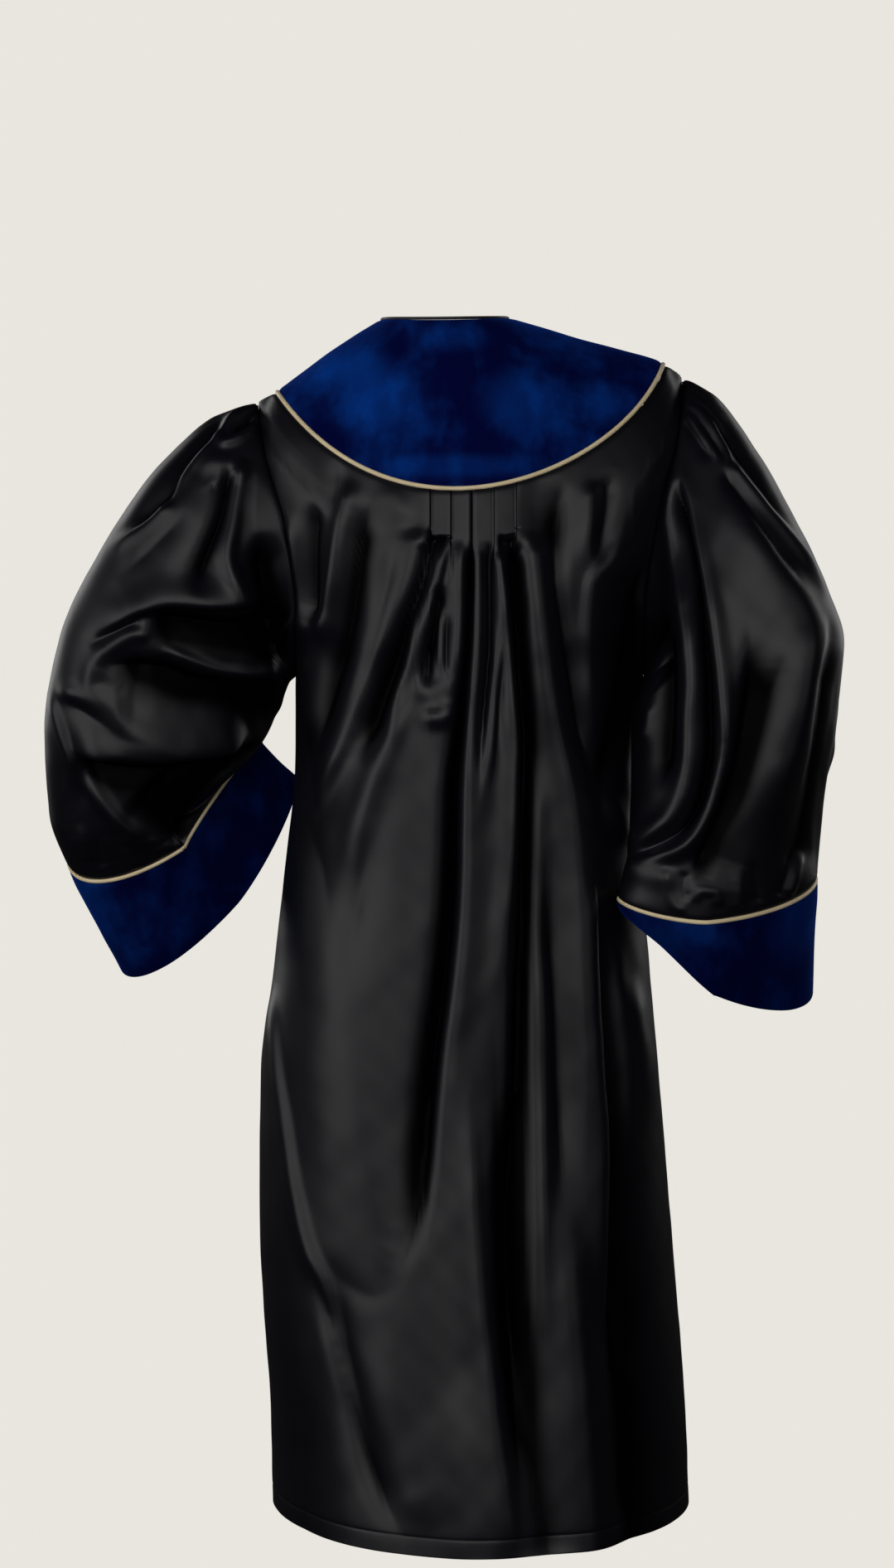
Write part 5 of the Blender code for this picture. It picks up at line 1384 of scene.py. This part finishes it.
class ROBE_OT_yoke(bpy.types.Operator):
    """Build the velvet yoke, its piping and the binding of the neck."""

    bl_idname = "robe.yoke"
    bl_label = "Yoke"

    def execute(self, context):
        cloth = context.scene.robe_cloth
        made = finishes()
        velvet = made["blue_velvet_yoke"]
        lap = column_at(LAP_HALF_WIDTH)
        plans = (
            ("yoke_back", 1, np.linspace(-1.0, 1.0, YOKE_BACK_COLUMNS)),
            ("yoke_front_left", -1, np.linspace(-lap, 1.0, YOKE_FRONT_COLUMNS)),
            ("yoke_front_right", -1, np.linspace(-1.0, lap, YOKE_FRONT_COLUMNS)),
        )
        for name, face, columns in plans:
            starts, ends = edge_places(BINDING_RADIUS), edge_places(PIPING_RADIUS)
            points = panel_grid(face, columns, YOKE_SPACING, 0.0, float(YOKE_ROW), starts, ends)
            points = points[1:-1]
            normals = grid_normals(points, False, face)
            down, beside = panel_edges(points, columns)
            up = down[-1:] - down
            rise = -SEAM_DIP * (bell(down, SEAM_DIP_WIDTH) + bell(up, SEAM_DIP_WIDTH))
            rise = rise - YOKE_SIDE_DIP * SEAM_DIP * bell(beside, SEAM_DIP_WIDTH)
            middle = smooth_step(down / CALM_EDGE) * smooth_step(up / CALM_EDGE)
            rise = rise + ripples(points, *RIPPLES["yoke"]) * middle
            if name == "yoke_front_left":
                rise = rise + lap_rise(columns, VELVET_IN_PART)[None, :]
            points = points + normals * rise[..., None]
            piece = cloth_shell(
                f"{name}_velvet", points, velvet, cloth.velvet_thickness, outward=float(face)
            )
            dress(piece, name)
        piping = trim_line(float(YOKE_ROW), SATIN_IN_PART / 2.0 - PIPING_PROUD, SEAM_GAP)
        binding = trim_line(0.0, VELVET_IN_PART / 2.0, 3.0 * SEAM_GAP)
        trims = (
            ("piping_yoke", piping, PIPING_RADIUS, "gold_piping"),
            ("neck_binding", binding, BINDING_RADIUS, "black_binding"),
        )
        for name, line, radius, kind in trims:
            dress(cord_curve(f"{name}_cord", line, radius, made[kind], closed=False), name)
        return {"FINISHED"}


def trim_line(row, sink, end_gap):
    """Run a trim from the left front edge over the shoulders to the right front."""
    lap = column_at(LAP_HALF_WIDTH)
    over_left, over_back, over_right = TRIM_KNOTS
    runs = (
        (-1, np.linspace(-lap, 1.0, over_left), 1.0),
        (1, np.linspace(1.0, -1.0, over_back)[1:-1], 0.0),
        (-1, np.linspace(-1.0, -lap - column_at(end_gap), over_right), 0.0),
    )
    parts = []
    for face, columns, lapped in runs:
        rows = np.array((max(row - TRIM_ROW_STEP, 0.0), row, row + TRIM_ROW_STEP))
        grid = body_points(face, columns[None, :], rows[:, None])
        normals = grid_normals(grid, False, face)[1]
        ends = np.abs(columns) == 1.0
        normals[ends, 1] = 0.0
        rise = lapped * lap_rise(columns, VELVET_IN_PART) - sink
        parts.append(grid[1] + unit(normals) * rise[:, None])
    return np.concatenate(parts)


def sleeve_angles():
    """List the angles of a sleeve's columns, closer together on the side near the back."""
    near = np.linspace(0.0, math.pi, NEAR_COLUMNS, endpoint=False)
    far = np.linspace(math.pi, 2.0 * math.pi, FAR_COLUMNS, endpoint=False)
    return np.concatenate((near, far))


def build_sleeve(name, first, last, count, finish, thickness, cuff):
    """Build a sleeve or its cuff between two of its rings."""
    side = SIDES[name]
    angles = sleeve_angles()
    middle = sleeve_points(name, math.pi / 2.0, np.linspace(first, last, RING_PROBES))
    spacing = arc_lengths(middle, 0)[-1] / count
    starts = edge_places(PIPING_RADIUS if cuff else 0.0)
    ends = EDGE_STEPS[:2] if cuff else edge_places(PIPING_RADIUS)
    rings = even_places(lambda r: sleeve_points(name, 0.0, r), first, last, spacing, starts, ends)
    rings = rings[1:] if cuff else rings[1:-1]
    points = sleeve_points(name, angles[None, :], rings[:, None])
    outward = -float(side)
    normals = grid_normals(points, True, outward)
    down = arc_lengths(points, 0)
    up = down[-1:] - down
    depth = None
    if cuff:
        rise = -SEAM_DIP * bell(down, SEAM_DIP_WIDTH)
        rise = rise + ripples(points, *RIPPLES["cuff"]) * smooth_step(down / CALM_EDGE)
        points = points + normals * rise[..., None]
    else:
        mask = smooth_step(down / SLEEVE_FADE) * smooth_step(up / SLEEVE_FADE)
        moved, height = creased(points, normals, NEAR_CREASES[name], normals[..., 1], mask)
        far_moved, far_height = creased(
            points, normals, FAR_CREASES, -normals[..., 1], mask, float(side)
        )
        # Painted shade: black mixed in by the depth of the sleeve's folds
        moved, depth = moved + far_moved, fold_shade_shares(height + far_height)
        rise = -SEAM_DIP * (bell(down, SEAM_DIP_WIDTH) + bell(up, SEAM_DIP_WIDTH))
        rise = rise + ripples(points, *RIPPLES["sleeve"]) * mask
        points = points + moved + normals * rise[..., None]
    kind = f"cuff_{name}_velvet" if cuff else f"sleeve_{name}_cloth"
    return cloth_shell(kind, points, finish, thickness, tube=True, outward=outward, depth=depth)


class ROBE_OT_sleeves(bpy.types.Operator):
    """Build the satin sleeves, the velvet cuffs and the piping between them."""

    bl_idname = "robe.sleeves"
    bl_label = "Sleeves and Cuffs"

    def execute(self, context):
        cloth = context.scene.robe_cloth
        made = finishes()
        for name, rows in SLEEVE_ROWS.items():
            seam = float(len(rows) - 2)
            satin, velvet = made["black_satin"], made["blue_velvet_cuffs"]
            sleeve = build_sleeve(
                name, 0.0, seam, SLEEVE_RINGS, satin, cloth.satin_thickness, cuff=False
            )
            dress(sleeve, f"sleeve_{name}")
            cuff = build_sleeve(
                name, seam, seam + 1.0, CUFF_RINGS, velvet, cloth.velvet_thickness, cuff=True
            )
            dress(cuff, f"cuff_{name}")
            angles = np.linspace(0.0, 2.0 * math.pi, CUFF_KNOTS, endpoint=False)
            rings = np.array((seam - TRIM_ROW_STEP, seam, seam + TRIM_ROW_STEP))
            grid = sleeve_points(name, angles[None, :], rings[:, None])
            normals = grid_normals(grid, True, -float(SIDES[name]))[1]
            line = grid[1] - normals * (SATIN_IN_PART / 2.0 - PIPING_PROUD)
            piping = cord_curve(
                f"piping_cuff_{name}_cord", line, PIPING_RADIUS, made["gold_piping"], closed=True
            )
            dress(piping, f"piping_cuff_{name}")
        return {"FINISHED"}


class ROBE_OT_declare(bpy.types.Operator):
    """Look up the shown pieces and work out each flat cut's area of cloth, which is not kept."""

    bl_idname = "robe.declare"
    bl_label = "Declare Sheets"

    def execute(self, context):
        shown = {piece["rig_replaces"][0]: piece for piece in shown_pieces() if "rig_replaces" in piece}
        for node, cut in CUTS.items():
            cut.width * cut.length * cut.share
        return {"FINISHED"}


# Lights of the studio: where each stands, where it aims, its width, height and power
StudioLight = namedtuple("StudioLight", "place aim width height watts")
LIGHTS = {
    "key": StudioLight((0.30, 3.80, 0.70), (0.0, 0.1, -0.45), 4.0, 2.6, 60.0),
    "left_key": StudioLight((3.30, 1.90, 0.05), (0.0, 0.1, -0.50), 3.0, 2.6, 40.0),
    "right_key": StudioLight((-2.70, 2.90, 0.30), (0.0, 0.1, -0.50), 1.6, 2.6, 8.0),
    "front_left": StudioLight((2.60, -3.00, 0.60), (0.0, -0.1, -0.5), 2.0, 2.6, 26.0),
    "front_right": StudioLight((-2.60, -3.00, 0.60), (0.0, -0.1, -0.5), 2.0, 2.6, 18.0),
    "left_fill": StudioLight((3.80, -0.90, 0.80), (0.2, 0.0, -0.5), 1.4, 2.0, 2.5),
    "right_fill": StudioLight((-3.80, -0.90, 0.80), (-0.2, 0.0, -0.5), 1.4, 2.0, 2.0),
}
AMBIENT = 0.01
FRAME_WIDTH_MM = 36.0
FLOOR_RADIUS = 14.0
DOME_RADIUS = 13.5


class ROBE_OT_stage(bpy.types.Operator):
    """Set up the floor, the backdrop, the lights and the camera."""

    bl_idname = "robe.stage"
    bl_label = "Studio"

    def execute(self, context):
        studio = context.scene.robe_stage
        pale = bpy.data.materials.new("pale_studio")
        pale.use_nodes = True
        pale.node_tree.nodes.clear()
        glow = pale.node_tree.nodes.new("ShaderNodeEmission")
        glow.inputs["Color"].default_value = opaque(studio.backdrop_colour)
        output = pale.node_tree.nodes.new("ShaderNodeOutputMaterial")
        pale.node_tree.links.new(glow.outputs[0], output.inputs["Surface"])
        for name, shape in (("studio_floor", "disc"), ("studio_backdrop", "dome")):
            form = bmesh.new()
            if shape == "disc":
                bmesh.ops.create_circle(form, cap_ends=True, segments=96, radius=FLOOR_RADIUS)
            else:
                bmesh.ops.create_uvsphere(form, u_segments=64, v_segments=32, radius=DOME_RADIUS)
            data = bpy.data.meshes.new(name)
            form.to_mesh(data)
            form.free()
            data.shade_smooth()
            data.materials.append(pale)
            item = bpy.data.objects.new(name, data)
            item.location.z = studio.floor_level if shape == "disc" else 0.0
            context.scene.collection.objects.link(item)
            item.visible_diffuse = False
            item.visible_glossy = False
            item.visible_shadow = False
            item.visible_transmission = False
            item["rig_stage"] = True
        for name, light in LIGHTS.items():
            lamp = bpy.data.lights.new(name, "AREA")
            lamp.shape = "RECTANGLE"
            lamp.size = light.width
            lamp.size_y = light.height
            lamp.energy = light.watts
            item = bpy.data.objects.new(name, lamp)
            item.location = light.place
            towards = Vector(light.aim) - Vector(light.place)
            item.rotation_euler = towards.to_track_quat("-Z", "Y").to_euler()
            context.scene.collection.objects.link(item)
        world = bpy.data.worlds.new("soft_studio")
        world.use_nodes = True
        sky = world.node_tree.nodes["Background"]
        sky.inputs["Color"].default_value = opaque(studio.backdrop_colour)
        sky.inputs["Strength"].default_value = AMBIENT
        context.scene.world = world
        lens = bpy.data.cameras.new("photo_view")
        lens.lens = studio.lens
        lens.sensor_width = FRAME_WIDTH_MM
        lens.shift_y = -studio.frame_drop
        camera = bpy.data.objects.new("photo_view", lens)
        camera.location = (studio.camera_aside, studio.camera_distance, studio.camera_height)
        camera.rotation_euler = (math.pi / 2.0, 0.0, math.pi)
        context.scene.collection.objects.link(camera)
        context.scene.camera = camera
        context.scene.view_settings.view_transform = "Standard"
        return {"FINISHED"}


class ROBE_PT_panel(bpy.types.Panel):
    """Lists the pieces of the robe and their sizes and colours."""

    bl_idname = "ROBE_PT_panel"
    bl_label = "Judicial Robe"
    bl_space_type = "VIEW_3D"
    bl_region_type = "UI"
    bl_category = "Robe"

    def draw(self, context):
        for group in (context.scene.robe_cloth, context.scene.robe_stage):
            box = self.layout.box()
            for name in group.bl_rna.properties.keys():
                if name not in ("rna_type", "name"):
                    box.prop(group, name)
        for step in STEPS:
            self.layout.operator(step.bl_idname)


STEPS = (ROBE_OT_body, ROBE_OT_yoke, ROBE_OT_sleeves, ROBE_OT_declare, ROBE_OT_stage)
CLASSES = (RobeCloth, RobeStage) + STEPS + (ROBE_PT_panel,)


def finishes():
    """Give the cloths' materials by name, made when first asked for."""
    cloth = bpy.context.scene.robe_cloth
    yoke = cloth.velvet_dark, cloth.velvet_lit, YOKE_SHEEN_PATCHES
    # Painted shade: the cuffs get a darker copy of the yoke velvet
    shaded_cuff_dark = [part * CUFF_SHADED_DARK_SHARE for part in cloth.velvet_dark]
    shaded_cuff_lit = [part * CUFF_SHADED_LIT_SHARE for part in cloth.velvet_lit]
    makers = {
        "black_satin": lambda name: satin_finish(name, cloth),
        "blue_velvet_yoke": lambda name: velvet_finish(name, *yoke),
        "blue_velvet_cuffs": lambda name: velvet_finish(name, shaded_cuff_dark, shaded_cuff_lit, CUFF_SHEEN_PATCHES),
        "gold_piping": lambda name: piping_finish(name, cloth),
        "black_binding": binding_finish,
    }
    made = {}
    for kind, make in makers.items():
        name = f"{kind}_finish"
        made[kind] = bpy.data.materials.get(name) or make(name)
    return made


def register():
    """Register the classes and add their properties to the scene."""
    for item in CLASSES:
        bpy.utils.register_class(item)
    bpy.types.Scene.robe_cloth = PointerProperty(type=RobeCloth)
    bpy.types.Scene.robe_stage = PointerProperty(type=RobeStage)


def unregister():
    """Remove the properties and the classes."""
    del bpy.types.Scene.robe_stage
    del bpy.types.Scene.robe_cloth
    for item in reversed(CLASSES):
        bpy.utils.unregister_class(item)


def main():
    """Build every piece and the studio."""
    register()
    bpy.ops.robe.body()
    bpy.ops.robe.yoke()
    bpy.ops.robe.sleeves()
    bpy.ops.robe.declare()
    bpy.ops.robe.stage()


if __name__ == "__main__":
    main()
